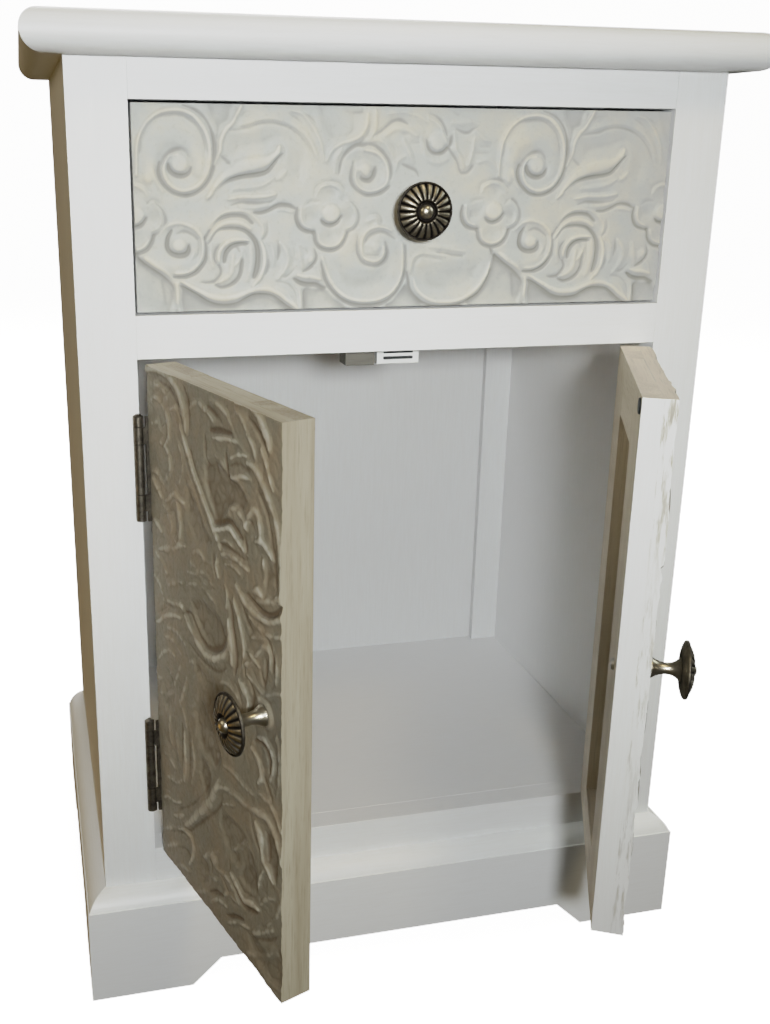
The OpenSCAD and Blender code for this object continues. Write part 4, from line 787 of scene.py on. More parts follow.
# Petals as (centre from the flower's, radius), and domes as (along, up, radii, rise)
PETALS = (((-11.6, -1), 5.6), ((0, -13.4), 6.0), ((11, -2), 5.6), ((-0.4, 11.6), 5.4))
REPEAT_KNOLLS = ((27.6, 84.8, 5.4, 5.6, 1.7), (26.4, 39.8, 4.4, 4.2, 1.4), (103.4, 31, 3, 3.4, 0.9))
MIDDLE_KNOLLS = ((135.4, 81.6, 5, 5.4, 1.5), (143.8, 37.6, 3.8, 3.6, 0.8), (180, 97.4, 5.6, 5.8, 1.3))
PETAL_DISH, BUD = -0.7, ((6.2, 5.8), 1.8)
# How strongly the drawer's ridges and cuts are worked
RIDGE_FORCE, CUT_FORCE = 0.9, 0.78
OPENING_X, OPENING_Z = -0.1664, 0.458  # the opening's lower left corner, in metres
DRAWER_SEAT = (166.4, 59)


def drawer_carving(low, high):
    face = Carving(low, high, DRAWER_CELL, DRAWER_LEVEL)
    starts, once = ((0.0, 0.0), (REPEAT_STEP, 0.0)), ((0.0, 0.0),)
    for start in starts:
        for (depth, reach), outline in REPEAT_SUNK:
            face.sink(shifted(outline, *start), depth, reach)
    for (depth, reach), outline in MIDDLE_SUNK:
        face.sink(outline, depth, reach)
    for x, z in FLOWERS:
        for (a, b), radius in PETALS:
            face.knoll((x + a, z + b), (radius, radius), PETAL_DISH)
    for work, force, *tables in ((face.ridge, RIDGE_FORCE, REPEAT_RIDGES, MIDDLE_RIDGES, FLOWER_RIDGES),
                                 (face.cut, CUT_FORCE, REPEAT_CUTS, MIDDLE_CUTS, FLOWER_CUTS)):
        for table, places in zip(tables, (starts, once, FLOWERS)):
            for (amount,), points in table:
                for place in places:
                    work(shifted(points, *place), force * amount)
    for knolls, places in ((REPEAT_KNOLLS, starts), (MIDDLE_KNOLLS, once)):
        for x, z, a, b, rise in knolls:
            for start, _ in places:
                face.knoll((x + start, z), (a, b), rise)
    for flower in FLOWERS:
        face.knoll(flower, *BUD)
    return face


def drawer_front():
    low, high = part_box("drawer_front")
    origin = Vector((OPENING_X, low.y, OPENING_Z))
    face = drawer_carving(((low.x - origin.x) / MM, (low.z - origin.z) / MM),
                          ((high.x - origin.x) / MM, (high.z - origin.z) / MM))
    face.finish(DRAWER_SEED)
    face.seat(DRAWER_SEAT)

    def corner(along, up, depth):
        along, up, depth = np.broadcast_arrays(along, up, depth)
        return np.stack([origin.x + along * MM, low.y + depth * MM, origin.z + up * MM], -1)

    carved_panel("drawer_front", face, corner, (high.y - low.y) / MM, [CREAM, PAINT["x"]])


# ---------------------------------------------------------------- doors

class Door:
    """A door drawn shut, and the turn about its pins that opens it as photographed."""

    def __init__(self, side):
        self.side = side
        pin = Matrix.Translation(HINGES[side]["pos_m"])
        self.shut = pin @ Matrix.Rotation(SHUT[side], 4, "Z") @ pin.inverted()
        self.open = self.shut.inverted()
        self.out = 1 if side == "left" else -1

    def shut_box(self, node):
        corners = np.array([self.shut @ v.co for v in frame["nodes"][node].data.vertices])
        return corners.min(0), corners.max(0)

    def opened(self, points):
        turn = np.array(self.open)
        return points @ turn[:3, :3].T + turn[:3, 3]

    def aimed(self, way):
        """A direction of the shut door, as it is on the open one."""
        return self.open.to_3x3() @ Vector(way)

    def knob_place(self):
        """Where the knob stands on the shut door's face."""
        low, high = self.shut_box(self.side + "_door_knob")
        return Vector(((low[0] + high[0]) / 2, high[1], (low[2] + high[2]) / 2))


# A door's curves, from its hinge edge and its lower edge

DOOR_SUNK = curves("""
1.7 5: 74 286, 90 292, 104 288, 118 285, 128 277, 121 268, 108 267, 101 260, 91 254, 84 261, 76 271;
1.2 6: 50 272, 62 263, 76 250, 86 243, 76 235, 60 234, 50 250;
1.4 5: 52 198, 62 186, 75 178, 90 178, 100 187, 98 199, 84 204, 66 205;
1.5 6: 54 130, 58 112, 70 104, 88 104, 92 118, 78 134, 66 142;
1.3 5: 62 104, 76 100, 78 84, 70 77, 60 88;
1.2 5: 88 80, 104 84, 122 82, 126 68, 112 54, 98 58, 88 68;
1.4 5: 110 48, 124 46, 138 52, 136 66, 126 76, 116 62;
1.2 4: 145 99, 156 100, 160 84, 156 70, 147 82;
1.1 5: 124 26, 146 22, 163 36, 164 8, 140 4, 122 12;
1 5: 58 36, 70 34, 76 22, 64 10, 54 18;
1 5: 142 248, 154 254, 160 244, 152 234, 142 238;
0.9 5: 8 136, 20 142, 30 130, 24 112, 8 112;
0.9 5: 52 168, 72 164, 86 160, 80 150, 60 152;
""")
DOOR_RIDGES = curves("""
1.3: -1 323 5, 14 325 5, 28 325 5.6, 38 322.5 6.4, 46 317 7, 51 311 7, 53 303 6, 53.6 297 4;
1.3: 46 299 3, 54 288.5 5.4, 62 279 6.4, 70 271 6.4, 78 262 6.4, 86 254 6.4, 91 248 5, 95 242 3;
1.3: 116 326 3, 128 327 4, 138 325 5, 145 320 6.4, 150 315 6.4, 152 310 4;
0.8: 86 321 3, 96 320.6 4.4, 104 318 4.4, 111 313 2;
0.7: 115 322 3, 122 319 4.4, 127 314 2;
0.6: 60 312 3, 70 317 5, 80 315 5, 89 311 3;
0.9: 110 304.6 2, 117 305.8 3.6, 124 303.6 2.4;
1: 88 301.6 2, 97 303 3.6, 104 304.4 3.6, 110 305.6 2;
1.1: 110 295.6 2, 116 298.6 3.6, 122 300.4 3.6, 128 301 2;
1: 106 284 2, 114 286 4, 122 289 4, 131 290 3;
1.2: 128 297.6 3, 136 297 5.6, 142 292.4 6.4, 148 287 6.4, 154 281 6.4, 158 275 6.4, 161 268 6,
 162.6 258 5.6, 163 246 5, 162.6 234 4;
1.1: 143 308 2.4, 147 303 3.6, 149.6 299 3.6, 152 295 3.6, 155 290 2;
0.8: 128 312 3, 135 307 4.4, 137 301 3;
1.2: 125 263 2.4, 129.6 270 4.6, 134 274.4 5.6, 139 273.4 5.6, 141.6 267.6 5.4, 142.6 261 4;
1.3: 137 259 3, 143 261 5.4, 149 258.6 5.4, 155 254.6 3;
0.8: 106 268 3, 114 270 5, 122 267 5, 127 262 3;
0.9: 145 252 3, 145.4 246 4.6, 144.6 240 3;
1.2: 134 231.6 3, 138.4 233.6 5.6, 143.6 232 3;
1.1: 114 228 4, 122 222.8 5.6, 130 220.4 5.6, 140 219.4 5.6, 150 221 5.6, 158 224 5, 166 229 4;
0.7: 138 228 3, 148 231 4.6, 156 234 4.6, 163 239 3;
0.8: 128 216 3, 140 213 4.4, 152 213.6 4.4, 165 218 4;
1.1: 89 251 3, 96 253.4 4.6, 102 256 5, 107.6 257.4 5, 114 254.4 5, 120 251.6 4.4, 127 249 3;
0.7: 95 246.4 2, 104 249.4 3.6, 112 247 2;
0.9: 97 239.6 2.6, 104 241.8 4.4, 111 242.6 4.4, 119 242 4, 128 240.6 2.4;
0.7: 101 235.4 2, 110 237.4 3.6, 119 236 2.4;
1: 91 235.6 2.6, 90 230.6 4.6, 92.6 225.4 3;
1.1: 23 249 2, 31 254 4.4, 37 256.8 5, 43 255.4 4.6, 49 255 3;
1: 39 253 3, 42.4 247 6.4, 43.4 238 6.4, 42 230 5;
0.9: 34 228.4 2, 42 228 4, 50 229.6 2.4;
0.7: 10 215 3, 22 219.6 5.6, 32 223 5.6, 43 226.6 4;
0.7: 18 246 3, 26 243 5, 30 236 5, 28 228 3;
0.9: 4 258 3, 10 254.4 5, 17 249.4 3;
1: 5 232 3, 10 231 6.4, 16 228 4;
0.7: 4 262.6 2, 12 263 4, 19 258 2.4;
0.7: 24 305 3, 30 299 6.4, 31 290 6.4, 25 283 3;
0.7: 6 306 3, 14 308.6 4.6, 22 306 3;
0.8: 34 305.4 3, 42 308.4 4, 49 306 2;
0.6: 12 316 3, 22 316 4, 30 311 3;
0.7: 18 283 3, 28 280 5.6, 31 271 5.6, 25 262 4;
0.6: 40 290 3, 46 284 5, 48 275 4, 44 266 3;
0.6: 6 292 2.4, 14 294 4, 20 290 2.4;
0.6: 60 229 3, 68 232.4 5.6, 75 229 3;
0.6: 56 222 3, 66 220 5, 76 221 4, 86 217 3;
0.8: 101 223 3, 103 217.6 4.6, 101.6 210.6 3;
1.2: 111 219 3, 115.6 212 5.6, 119 206 5.6, 121.4 200 5.6, 122.8 193.6 4.6, 121 184 3;
1.1: 104 204 4, 106.4 196 6.4, 107.6 189 6.4, 108 180 4.4;
1: 41 191.6 2.4, 50 184 4.8, 58 178.4 6.4, 66 173.8 7.4, 74 171.8 7.4, 82 172.4 7.4, 90 176 7,
 97 180.6 6.4, 102.6 186.4 5.4, 105.6 194 5;
0.9: -1 164.6 2.4, 6 166.6 4, 12 171 4.4, 20 176 4.4, 30 179.6 4, 41 182 3;
0.7: 22 186 3, 34 188.6 4.6, 44 190.4 3;
0.7: 24 197 3, 35 202 4.8, 44 205 3;
0.7: 6 212 3, 14 208.4 5, 22 203.6 3;
0.7: 50 206 2.4, 62 210.8 4.4, 74 211.6 4.4, 87 208.6 3;
0.6: 52 214.6 2.4, 64 217 3.6, 78 215 2.4;
0.7: 2 196 3, 10 193 5, 16 186 4, 15 180 2.4;
1.1: 117 174 4, 122.4 171.6 7, 127 167 4, 126 159.6 3;
1.2: 138 174 4, 142.6 172.6 6.4, 144.6 167.6 3;
1: 123 186 2.4, 128 188.8 4, 132 191 2.4;
0.9: 126 195.6 2.6, 133 194 4.4, 140 191.4 2.4;
1.1: 136 196.4 2.4, 141 200.6 4.4, 145 205 4.8, 149.6 206 4.6, 152 202.6 4, 151.6 196 2.4;
0.7: 130 204 3, 138 208 4.6, 146 210 3;
0.7: 126 181.6 2.4, 136 179.6 4, 146 178.6 4.4, 156 184 4, 164 187 3;
0.7: 155 208 3, 159 200 4.6, 158 190 3;
0.6: 92 163 3, 104 166 4.6, 114 163 3;
0.6: 20 168 3, 34 170.6 4, 46 167 3;
0.7: 14 160 3, 28 162.6 4.6, 40 158.6 3;
0.6: 52 158 3, 62 161.6 4.4, 74 159 3;
1.2: 138 150 3, 146 152.8 4.6, 152 150.4 5.4, 155.8 145 5.6, 154.6 137.6 4.6, 151 131 3;
1.3: 130 140.6 3, 136 138.4 5.4, 141 134 6.4, 142 128 5.4, 138 123.6 3;
0.7: 158 160 3, 161 150 5, 161 138 5, 158 126 3;
0.8: 47 146 3, 45 139 5.4, 41 132 5.4, 37 126 3;
0.7: 36 126 3, 41.6 119 5.4, 44.4 111 4;
0.6: 28 133 3, 33 141 4.6, 38 150 3;
0.8: 6 142 2.4, 13 149 4.4, 21 153 4.4, 30 153 2.4;
0.6: 4 128 3, 13 132 4.6, 22 138 3;
0.6: 6 118 3, 16 121 4.6, 25 126 3;
1.3: 41.6 108 4, 42.2 100 6.4, 42.2 92 6.8, 41.6 84 6.8, 40.6 77.6 5.6, 40 73 3;
0.6: 33 106 3, 29.6 97 5, 31 87 4, 34 80 2.4;
0.6: 20 108 3, 18 98 5, 21 88 3;
0.7: 52 106 3, 55 96 5, 53 84 4, 50 76 2.4;
1: 38 40 4, 50 51 7.4, 58 59 9.4, 66 67 10, 74 75 10, 80 83 9.4, 85 92 7, 89 99 4;
0.8: 86 93 4, 96 98 5.6, 110 100.4 6, 122 101.4 6, 132 103.6 6, 141 105.4 5;
0.6: 92 85.4 2, 100 89.4 3.6, 109 93 2.4;
0.6: 96 112 3, 110 113.6 4.6, 124 112 4, 134 113 2.4;
1.2: 132 104 4, 142 106.8 6.4, 150 106 6.8, 156.4 102 6.8, 160.6 96 6.4, 163.4 88 5;
0.8: 138 117 3, 148 117.6 5, 157 114 5, 163 107 3;
1.3: 135 97 4, 140 92.6 8.4, 142 86 5.6, 142.8 81 4.4, 144 77.4 6.4, 149 74.4 5.6, 154.6 71 3;
1: 143 71 3, 139.8 65 4, 138 59.4 4.2, 136.6 53 2;
0.9: 104 62 3, 110 66 5, 116 71 4, 121 77 2.4;
1.3: 102 45.6 3, 107 43.6 6.4, 112 41.4 5.6, 117 38.8 5.6, 121 38.4 5.6, 126 40.6 5.6, 131 42.2 5.6,
 138 43.4 3;
0.8: 84 37 3, 92 39 4, 100 38.6 4.4, 106 36 4, 113 31 2.4;
0.7: 66 34 3, 73 40 5, 80 46 4, 88 51 2.4;
0.9: 22 39 3, 31 43 6, 38 48 3;
0.8: 4 42 2.4, 13 47 4.4, 24 49.4 4, 33 54 2.4;
1.1: 28 31.6 2.4, 37 36.4 4.4, 45.6 37.4 5.6, 50.6 33 5.6, 50.4 27 5.6, 47.4 21 4.6, 43 15 3;
0.6: 10 62 3, 22 64 4.6, 32 68 4, 38 74 2.4;
0.6: 10 78 3, 18 77 4.6, 26 74 3;
0.9: 74 7 2, 81 13.4 3.6, 88 17 4, 98 19 2.4;
0.6: 54 2 2.4, 62 7 4, 71 13 2.4;
0.8: 98 8 2.4, 106 14 4.4, 114 18.8 4.4, 126 22.6 3;
0.6: 60 18 3, 71 25 4.8, 83 28.6 4;
0.6: 92 24 2.4, 100 29 4, 110 30 2.4;
0.6: 10 9 3, 20 16 4.8, 31 21 3;
0.6: 6 20 3, 16 26 4.8, 26 30 3;
0.6: 24 2 3, 34 8 4.8, 44 10 3;
0.8: 126 19 3, 136 27 5, 145 34 5.4, 154 41 4;
0.7: 122 4 3, 134 10 4.8, 146 18 4.8, 158 28 3;
0.7: 140 48 3, 147 56 5, 155 61 3;
0.7: 148 40 3, 156 48 4.8, 162 60 4, 162 70 2.4;
""")
DOOR_CUTS = curves("""
1.8: 84 305 2, 92 306.2 4.4, 100 307.6 4.4, 110 308.2 3;
1: 82 316.6 4, 91 315 6, 99 312 3;
1.1: 78 301 2, 78.4 292 3.4, 81 285 2;
1.6: 103 297 2, 104 290 4.6, 105.6 282 2;
1.2: 51 323 2, 56.4 316 4.4, 58 308 3, 58 300 2;
1: 18 319 2, 30 317.4 4.4, 38 314 4.4, 44 308 4.4, 47 300 2;
1.3: 128 321 2, 138 317 4.4, 144.6 311.6 4.4, 150 306 2;
2: 88 255 2, 96 256.8 4.4, 102 259.4 5, 108 261 4.4, 114.6 258.6 3.6, 121 255.6 2;
1.3: 123 258 2, 125.4 252.6 3.6, 126.6 246 2;
1.2: 58 288 2, 66 278 3.4, 74 269.6 3.6, 82 261 3.6, 88 255.4 2;
0.8: 52 280 1.6, 60 270.6 2.6, 70 260 2.6, 80 250 2.4;
1.1: 138 286 2, 145 281 4, 150 274 3.4, 153 265 3.6, 156 254 4.4, 156.6 242 3;
1: 126 268 1.6, 131.6 267.6 3, 136 264 2;
0.9: 108 291.4 2, 118 294.4 3, 128 294 2.4;
2.1: 126 227 2, 134 225 4, 142 223.4 4.6, 150 224 4.6, 157 227.6 4, 164 234 2;
1.2: 85 236 2, 86.4 229.6 3.6, 88.4 223.6 2;
1: 92 245 2, 102 245.6 3, 112 245.6 3, 124 245 2;
1.5: 105 216 2, 108 210 4, 109 202 4, 112 192 4.4, 113 183 4, 110.6 175 2;
1: 121 218 2, 126 212.4 3.6, 133 208.4 2;
1.5: 44 186 2, 54 190 2.4, 61 184.6 3.4, 69 179 3.8, 78 177.4 4.4, 88 180 4.4, 95 185 4, 99.6 193 2;
0.9: 52 170 2, 62 167 3.4, 76 165.6 3.6, 90 168 3.4, 100 174 2;
1.2: 121.6 190 1.6, 123 185 3, 123 179 1.6;
1.2: 141 190 2, 144.6 184 3.6, 146.8 192 3.6, 146.4 198 2;
1.1: 149 211 2, 154.4 204 3.6, 154 195 3;
1.2: 112 170 2, 116 166 3, 119 160 2;
1.2: 128 179 2, 132.4 174 4, 131.6 165 4, 128.6 157 2;
1.4: 133 146 2, 139.6 149 3.4, 146 147.6 3.4, 150 143 3.6, 150.6 135 2;
1.2: 144.6 131 2, 147.6 125.4 3.6, 153 120 2;
0.9: 37 112 2, 37.6 104 3, 36.8 94 3, 36 82 2;
0.9: 47 110 2, 47.6 98 3, 47 86 3, 45 74 2;
1: 34 40 2, 44 40 3, 54 48.6 3.6, 64 58 3.6, 74 67 3.6, 84 76 3.6, 92 86 2;
0.8: 30 48 2, 44 57 3, 54 66 3.4, 64 76 3.4, 72 86 2.4;
1.2: 128 99 2, 130.4 90 3, 134 85 3.6, 139.6 80.4 2;
1.2: 146.6 98 2, 148.2 88 3.6, 148.8 80 2;
1.1: 100 53 1.6, 101.4 47.6 3, 99.6 41.6 1.6;
1.6: 106 38 2, 113 34.4 4, 120 33.6 4.4, 127 36 3.6, 135 39 2;
0.9: 111 47 1.6, 118 43.6 3, 125 45 2.6, 132 47.4 2;
0.9: 90 35 2, 97 31 4.4, 105 26.6 3;
1.8: 72 13 2, 79 17.4 3.6, 84 20 3.4, 91 22 2;
1.6: 96 12 2, 103 16 3.6, 110 20 3.6, 118 23 2;
1: 74 38 2, 77 33 3, 76 28 1.6;
0.9: 16 23 1.6, 25 29 3, 34 33 3, 41 33.6 2;
0.8: 26 18 2, 37 22.4 3.6, 44 21.6 3;
0.8: 134 22 2, 146 29 4, 158 38 3;
0.9: 14 183 1.6, 22 183 3, 32 184.6 2;
0.8: 4 172 1.6, 12 176.4 3, 20 181 2;
0.8: 20 240 1.6, 34 246 3, 36 236 3, 33 226 2;
0.8: 20 293 2, 25.6 296 3.4, 26 288 3, 21 281 1.6;
""")
# Domes as (along, up, radius, rise)
DOOR_KNOLLS = ((123, 172, 4.6, 0.6), (142, 173, 4, 0.6), (80.6, 40.4, 4.6, 1.2), (140, 92, 5, 0.6),
               (139, 233, 4, 0.6))
DOOR_FORCE = 0.85
MEETING_SLOPE = 1.4 / 20  # how far the meeting edge is planed back over the door's thickness
HAIR = 0.01  # how near to the meeting edge a point lies on it
FACING = 0.9  # the cosine over which a face looks the same way
# The finishes of each carved panel, and which of them its edges and back take
DOOR_FINISHES = {"left": ([TAUPE, LIMED["x"], LIMED["z"]], (1, 2, 1, 2, 2)),
                 "right": ([TAUPE, PALE["x"], WORN, PAINTED_LIGHT_WOOD], (1, 2, 1, 3, 3))}
DOOR_BOARDS = {"hinge_stile": "z", "meeting_stile": "z", "top_rail": "x", "bottom_rail": "x"}


def door_carving(width, height):
    """Leaves, stems and scrolls of a door, close set and worn."""
    face = Carving((0, 0), (width, height), DOOR_CELL, DOOR_LEVEL)
    for (depth, reach), outline in DOOR_SUNK:
        face.sink(outline, depth, reach)
    for (rise,), points in DOOR_RIDGES:
        face.ridge(points, DOOR_FORCE * rise)
    for x, z, radius, rise in DOOR_KNOLLS:
        face.knoll((x, z), (radius, radius), rise)
    for (depth,), points in DOOR_CUTS:
        face.cut(points, depth)
    face.creased(CREASE_SEED, CREASE_DEPTH)
    face.finish(DOOR_SEED)
    return face


def carved_door(door):
    node = door.side + "_door_panel"
    low, high = door.shut_box(node)
    hinge_x = low[0] if door.out > 0 else high[0]
    width, thickness, height = (high - low) / MM
    face = door_carving(width, height)
    knob_at = door.knob_place()
    face.seat((door.out * (knob_at[0] - hinge_x) / MM, (knob_at[2] - low[2]) / MM))

    def corner(along, up, depth):
        along, up, depth = np.broadcast_arrays(along, up, depth)
        planed = np.where(along > width - HAIR, depth * MEETING_SLOPE, 0.0)
        return door.opened(np.stack([hinge_x + door.out * (along - planed) * MM,
                                     low[1] + depth * MM, low[2] + up * MM], -1))

    carved_panel(node, face, corner, thickness, *DOOR_FINISHES[door.side])


def door_boards(door):
    """The frame behind the panel, of limed or pale wood; the right door's meeting edge is painted white."""
    free = door.aimed((door.out, 0, 0)).normalized()

    def painted_edge(face):
        return int(face.normal.dot(free) > FACING)

    wood = LIMED if door.side == "left" else PALE
    for part, grain in DOOR_BOARDS.items():
        choose = painted_edge if door.side == "right" and part == "meeting_stile" else None
        softened(f"{door.side}_door_{part}", SMALL_ARRIS, [wood[grain], EDGE], 2, choose)


# ---------------------------------------------------------------- knobs, in millimetres

FLUTES, FLUTE_STEPS = 20, 10
TURNS = FLUTES * FLUTE_STEPS
FACE_INNER, FACE_OUTER, FACE_FOOT = 6.4, 15.5, 19.0  # the fluted ring of the face, and its lowest height
FADE_INNER, FADE_OUTER = 0.7, 0.25  # how far the flutes take to fade in at the ring's rims
# A groove's depth at the inner rim, what the outer rim adds, and the power that narrows it
GROOVE, GROOVE_GROWTH, GROOVE_POWER = 0.5, 1.3, 1.35
VEIN, VEIN_NARROW = 0.12, 9  # the crease along each petal
GROOVE_SHADE, VEIN_SHADE = 0.95, 0.5
KNOB_CREASE = math.radians(60)


def knob_profile():
    """(radius, height, hollow) from the foot, out over the cup, in over the face to the bead."""
    rows = [(5.6, 0.0, 0.3), (6.0, 0.05, 0.3), (6.0, 0.7, 0.15), (5.75, 1.2, 0.1)]
    rows += [(3.3 + 2.3 * (1 - t) ** 2.2, 1.4 + 7.4 * t, 0.05) for t in np.linspace(0.08, 1, 9)]
    rows += [(3.3 + 3.6 * t ** 2.4, 8.8 + 7.6 * t, 0.1 + 0.3 * t) for t in np.linspace(0.12, 1, 8)]
    rows += [(7.4, 16.5, 0.75), (8.0, 16.3, 0.8), (10.0, 16.6, 0.5), (12.6, 17.1, 0.4), (15.0, 17.9, 0.35),
             (16.2, 18.5, 0.35), (16.65, 19.0, 0.42), (16.75, 19.5, 0.5), (16.65, 20.0, 0.6),
             (16.3, 20.4, 0.7), (15.9, 20.5, 0.8), (15.6, 20.35, 0.95), (15.35, 20.3, 1.0)]
    rows += [(15.2 - 8.3 * t, 20.5 + 3.1 * math.sin(math.pi / 2 * t) ** 0.9, 0.16 + 0.16 * t)
             for t in np.linspace(0.0, 1, 22)]
    rows += [(6.6, 23.4, 0.5), (6.25, 22.9, 0.8), (5.9, 22.2, 0.97), (5.4, 21.7, 1.0), (4.9, 21.5, 1.0),
             (4.5, 21.7, 0.9)]
    rows += [(4.25 * math.cos(a), 22.1 + 3.4 * math.sin(a), 0.06)
             for a in np.radians((0, 12, 24, 38, 52, 66, 79))]
    return rows + [(0.0, 25.5, 0.08)]


def flute(radius, height, turn):
    """(drop, shade) of the grooves between the rosette's petals, deeper at the rim, and of their veins."""
    if not FACE_INNER < radius < FACE_OUTER or height < FACE_FOOT:
        return 0.0, 0.0
    wave = abs(math.sin(turn * FLUTES / 2))
    outward = (radius - FACE_INNER) / (FACE_OUTER - FACE_INNER)
    fade = min(1.0, (radius - FACE_INNER) / FADE_INNER, (FACE_OUTER - radius) / FADE_OUTER)
    groove = (1 - wave) ** GROOVE_POWER
    vein = max(0.0, 1 - abs(wave - 1) * VEIN_NARROW) * VEIN
    drop = fade * ((GROOVE + GROOVE_GROWTH * outward) * groove + vein * outward)
    return drop, fade * (GROOVE_SHADE * groove + VEIN_SHADE * vein)


def turned(profile):
    """Turns (radius, height, hollow) rows about +Z, fluted: the points, faces and hollow marks."""
    points, marks, faces, rings = [], [], [], []
    for radius, height, hollow in profile:
        count = TURNS if radius else 1
        rings.append(list(range(len(points), len(points) + count)))
        for k in range(count):
            turn = 2 * math.pi * k / TURNS
            drop, shade = flute(radius, height, turn)
            points.append((radius * math.cos(turn), radius * math.sin(turn), height - drop))
            marks.append(min(1.0, hollow + shade))
    for low, high in zip(rings, rings[1:]):
        for k in range(TURNS):
            n = (k + 1) % TURNS
            faces.append((low[k], high[0], low[n]) if len(high) == 1 else (low[k], high[k], high[n], low[n]))
    return points, [face[::-1] for face in faces] + [rings[0]], marks


def knob(node, foot, outwards):
    """A fluted rosette knob standing at a point of the face."""
    points, faces, marks = turned(knob_profile())
    matrix = (Matrix.Translation(foot) @ outwards.to_track_quat("Z", "Y").to_matrix().to_4x4()
              @ Matrix.Scale(MM, 4))
    mesh = mesh_of(node + "_turned", [matrix @ Vector(p) for p in points], faces, {"hollow": marks})
    mesh.set_sharp_from_angle(angle=KNOB_CREASE)
    show(node + "_rosette", mesh, [BRASS], node)


# ---------------------------------------------------------------- the parts

# Each board's grain
CARCASS = {
    "left_side_panel": "z", "right_side_panel": "z", "back_panel": "z", "left_back_batten": "z",
    "right_back_batten": "z", "cupboard_floor": "x", "left_stile": "z", "right_stile": "z", "top_rail": "x",
    "middle_rail": "x", "bottom_rail": "x", "front_plinth": "x", "left_plinth": "y", "right_plinth": "y",
    "back_plinth": "x"}
DRAWER_BOX = {"drawer_left_side": "y", "drawer_right_side": "y", "drawer_back": "x", "drawer_bottom": "x",
              "left_runner": "y", "right_runner": "y", "left_kicker": "y", "right_kicker": "y"}


def boards():
    paint("top_board", PAINT["x"])
    for node, grain in CARCASS.items():
        wood = INNER if node.endswith(("batten", "back_panel")) else PAINT
        softened(node, PLINTH_ARRIS if "plinth" in node else BOARD_ARRIS, [wood[grain]])
    for node, grain in DRAWER_BOX.items():
        softened(node, BOARD_ARRIS, [BARE[grain]], 2)
    softened("stop_block", SMALL_ARRIS, [DULL_WOOD], 2)


def hardware():
    for node, slot in SLOT_OF.items():
        if slot == "bronzed_steel":
            paint(node, BRONZE)
        elif slot == "zinc_steel":
            paint(node, DARK_STEEL if "plates" in node or "strike" in node else ZINC)
        elif slot == "white_plastic":
            softened(node, SMALL_ARRIS, [PLASTIC])


boards()
hardware()
drawer_front()
low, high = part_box("drawer_knob")
OUTWARDS = Vector((0, -1, 0))
knob("drawer_knob", Vector(((low.x + high.x) / 2, high.y, (low.z + high.z) / 2)), OUTWARDS)
for door in (Door(side) for side in SIDES):
    carved_door(door)
    door_boards(door)
    knob(door.side + "_door_knob", door.open @ door.knob_place(), door.aimed(OUTWARDS))


# ---------------------------------------------------------------- stage, lights and camera

# name: (place, size, power in watts, spread in degrees, colour), all aimed at AIM
LAMPS = {
    "flash": ((-0.213, -1.305, 0.640), 0.10, 2.25, 90, (0.955, 0.99, 1.0)),
    "ceiling_lamp": ((0.45, -1.41, 2.14), 0.45, 6.5, 180, (1.0, 0.80, 0.48)),
    "left_fill": ((-1.4, -0.55, 1.15), 0.8, 2.9, 180, (1.0, 0.87, 0.62)),
    "floor_bounce": ((-0.9, -0.15, 0.02), 0.4, 0.4, 180, (1.0, 0.62, 0.2)),
    "right_fill": ((2.2, -0.4, 1.4), 1.4, 14.0, 180, (0.92, 1.0, 0.95)),
    "back_lamp": ((0.3, 1.8, 2.0), 1.2, 36.0, 180, (1.0, 0.97, 0.93)),
}
AIM = (0.0, -0.15, 0.38)
# The room's light: (from below, from above) on the left, where the floor is warm, and on the right
AIR = {"left": ((0.043, 0.027, 0.0), (0.07, 0.058, 0.04)),
       "right": ((0.036, 0.034, 0.029), (0.094, 0.095, 0.092))}
# The photograph's tone: scene light to shown light, with highlights held back
TONE = ((0.0, 0.0), (0.1, 0.12), (0.2, 0.255), (0.3, 0.36), (0.42, 0.45), (0.6, 0.60), (0.75, 0.67),
        (1.0, 0.725), (3.0, 1.0))
SWEEP_GLOW = 3.2
SWEEP_FLAT, SWEEP_BEND, SWEEP_HIGH = 3.2, 1.4, 5.0  # metres
# The photograph's viewpoint, found by fitting the frame, the openings and the plinth
EYE, LENS, SHIFT = (-0.2253, -0.9614, 0.5547), 40.30, (0.0669, -0.0108)
YAW, PITCH, TILT = (math.radians(angle) for angle in (14.10, -17.39, 0.59))


def sweep():
    """A pale round floor that curves up all round; it lights nothing, so its paleness costs no shade."""
    rows = [(SWEEP_FLAT, 0.0)]
    rows += [(SWEEP_FLAT + SWEEP_BEND * math.sin(a), SWEEP_BEND - SWEEP_BEND * math.cos(a))
             for a in np.radians(np.arange(9, 91, 9))]
    rows.append((SWEEP_FLAT + SWEEP_BEND, SWEEP_HIGH))
    turns = np.radians(np.arange(0, 360, 6))
    count = len(turns)
    points = [(0, 0, 0)] + [(r * math.cos(t), r * math.sin(t), z) for r, z in rows for t in turns]
    faces = [(0, 1 + k, 1 + (k + 1) % count) for k in range(count)]
    faces += [(ring + k, ring + count + k, ring + count + (k + 1) % count, ring + (k + 1) % count)
              for ring in range(1, 1 + count * (len(rows) - 1), count) for k in range(count)]
    mesh = mesh_of("studio_sweep", points, faces)
    finish = Finish("studio_sweep", Roughness=0.95, Emission_Color=(1, 1, 1), Emission_Strength=SWEEP_GLOW)
    cloud = finish.noise(finish.place(), 3.0)
    finish.link(finish.mix(cloud, (0.78, 0.78, 0.78), (0.8, 0.8, 0.8)), "Base Color")
    mesh.materials.append(finish.material)
    floor = bpy.data.objects.new("studio_sweep", mesh)
    floor.visible_diffuse = floor.visible_glossy = floor.visible_shadow = False
    bpy.context.scene.collection.objects.link(floor)


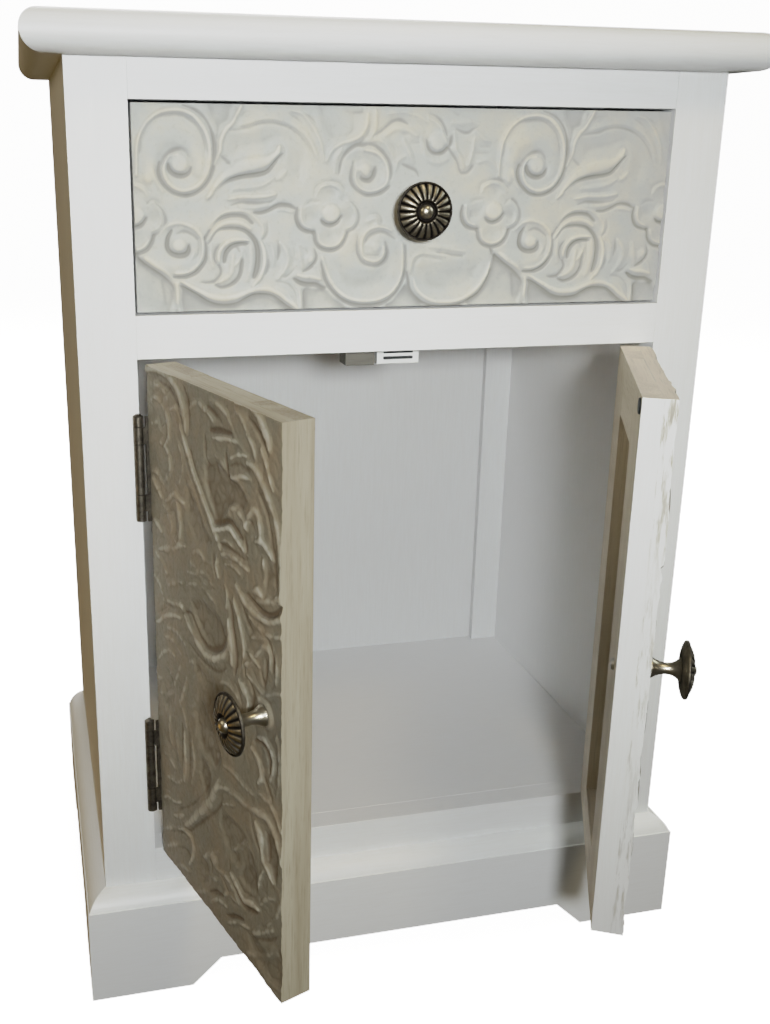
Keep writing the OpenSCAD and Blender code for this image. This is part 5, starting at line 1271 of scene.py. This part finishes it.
def lamps():
    for name, (place, size, power, spread, colour) in LAMPS.items():
        data = bpy.data.lights.new(name, "AREA")
        data.shape = "DISK"
        data.size, data.energy, data.color = size, power, colour
        data.spread = math.radians(spread)
        lamp = bpy.data.objects.new(name, data)
        lamp.location = place
        lamp.rotation_mode = "QUATERNION"
        lamp.rotation_quaternion = (Vector(AIM) - Vector(place)).to_track_quat("-Z", "Y")
        bpy.context.scene.collection.objects.link(lamp)


def air():
    """The room's faint light, from every side."""
    world = bpy.data.worlds.new("studio_air")
    world.use_nodes = True
    nodes = Nodes(world.node_tree)
    here = nodes.add("ShaderNodeTexCoord").outputs["Generated"]
    way = nodes.add("ShaderNodeSeparateXYZ", {0: here}).outputs
    height = nodes.remap(way["Z"], -0.15, 0.15)
    left, right = (nodes.mix(height, *AIR[side]) for side in SIDES)
    tone = nodes.mix(nodes.remap(way["X"], -0.5, 0.1), left, right)
    nodes.feed(nodes.tree.nodes["Background"].inputs["Color"], tone)
    bpy.context.scene.world = world


def toned():
    """Shows the scene's light as the photograph does."""
    view = bpy.context.scene.view_settings
    view.view_transform, view.look, view.exposure = "Standard", "None", 0.0
    view.use_curve_mapping = True
    view.curve_mapping.use_clip = False
    curve = view.curve_mapping.curves[3]
    curve.points[0].location, curve.points[1].location = TONE[0], TONE[-1]
    for shown in TONE[1:-1]:
        curve.points.new(*shown)
    view.curve_mapping.update()


def camera():
    """Looks ahead from EYE, tilted by TILT about its own axis."""
    ahead = Vector((math.sin(YAW) * math.cos(PITCH), math.cos(YAW) * math.cos(PITCH), math.sin(PITCH)))
    across = Vector((math.cos(YAW), -math.sin(YAW), 0))
    above = across.cross(ahead)
    right = math.cos(TILT) * across + math.sin(TILT) * above
    over = math.cos(TILT) * above - math.sin(TILT) * across
    data = bpy.data.cameras.new("camera")
    data.sensor_width, data.clip_start, data.lens = 36.0, 0.01, LENS
    data.shift_x, data.shift_y = SHIFT
    eye = bpy.data.objects.new("camera", data)
    eye.matrix_world = Matrix.Translation(EYE) @ Matrix((right, over, -ahead)).transposed().to_4x4()
    bpy.context.scene.collection.objects.link(eye)
    bpy.context.scene.camera = eye


sweep()
lamps()
air()
toned()
camera()
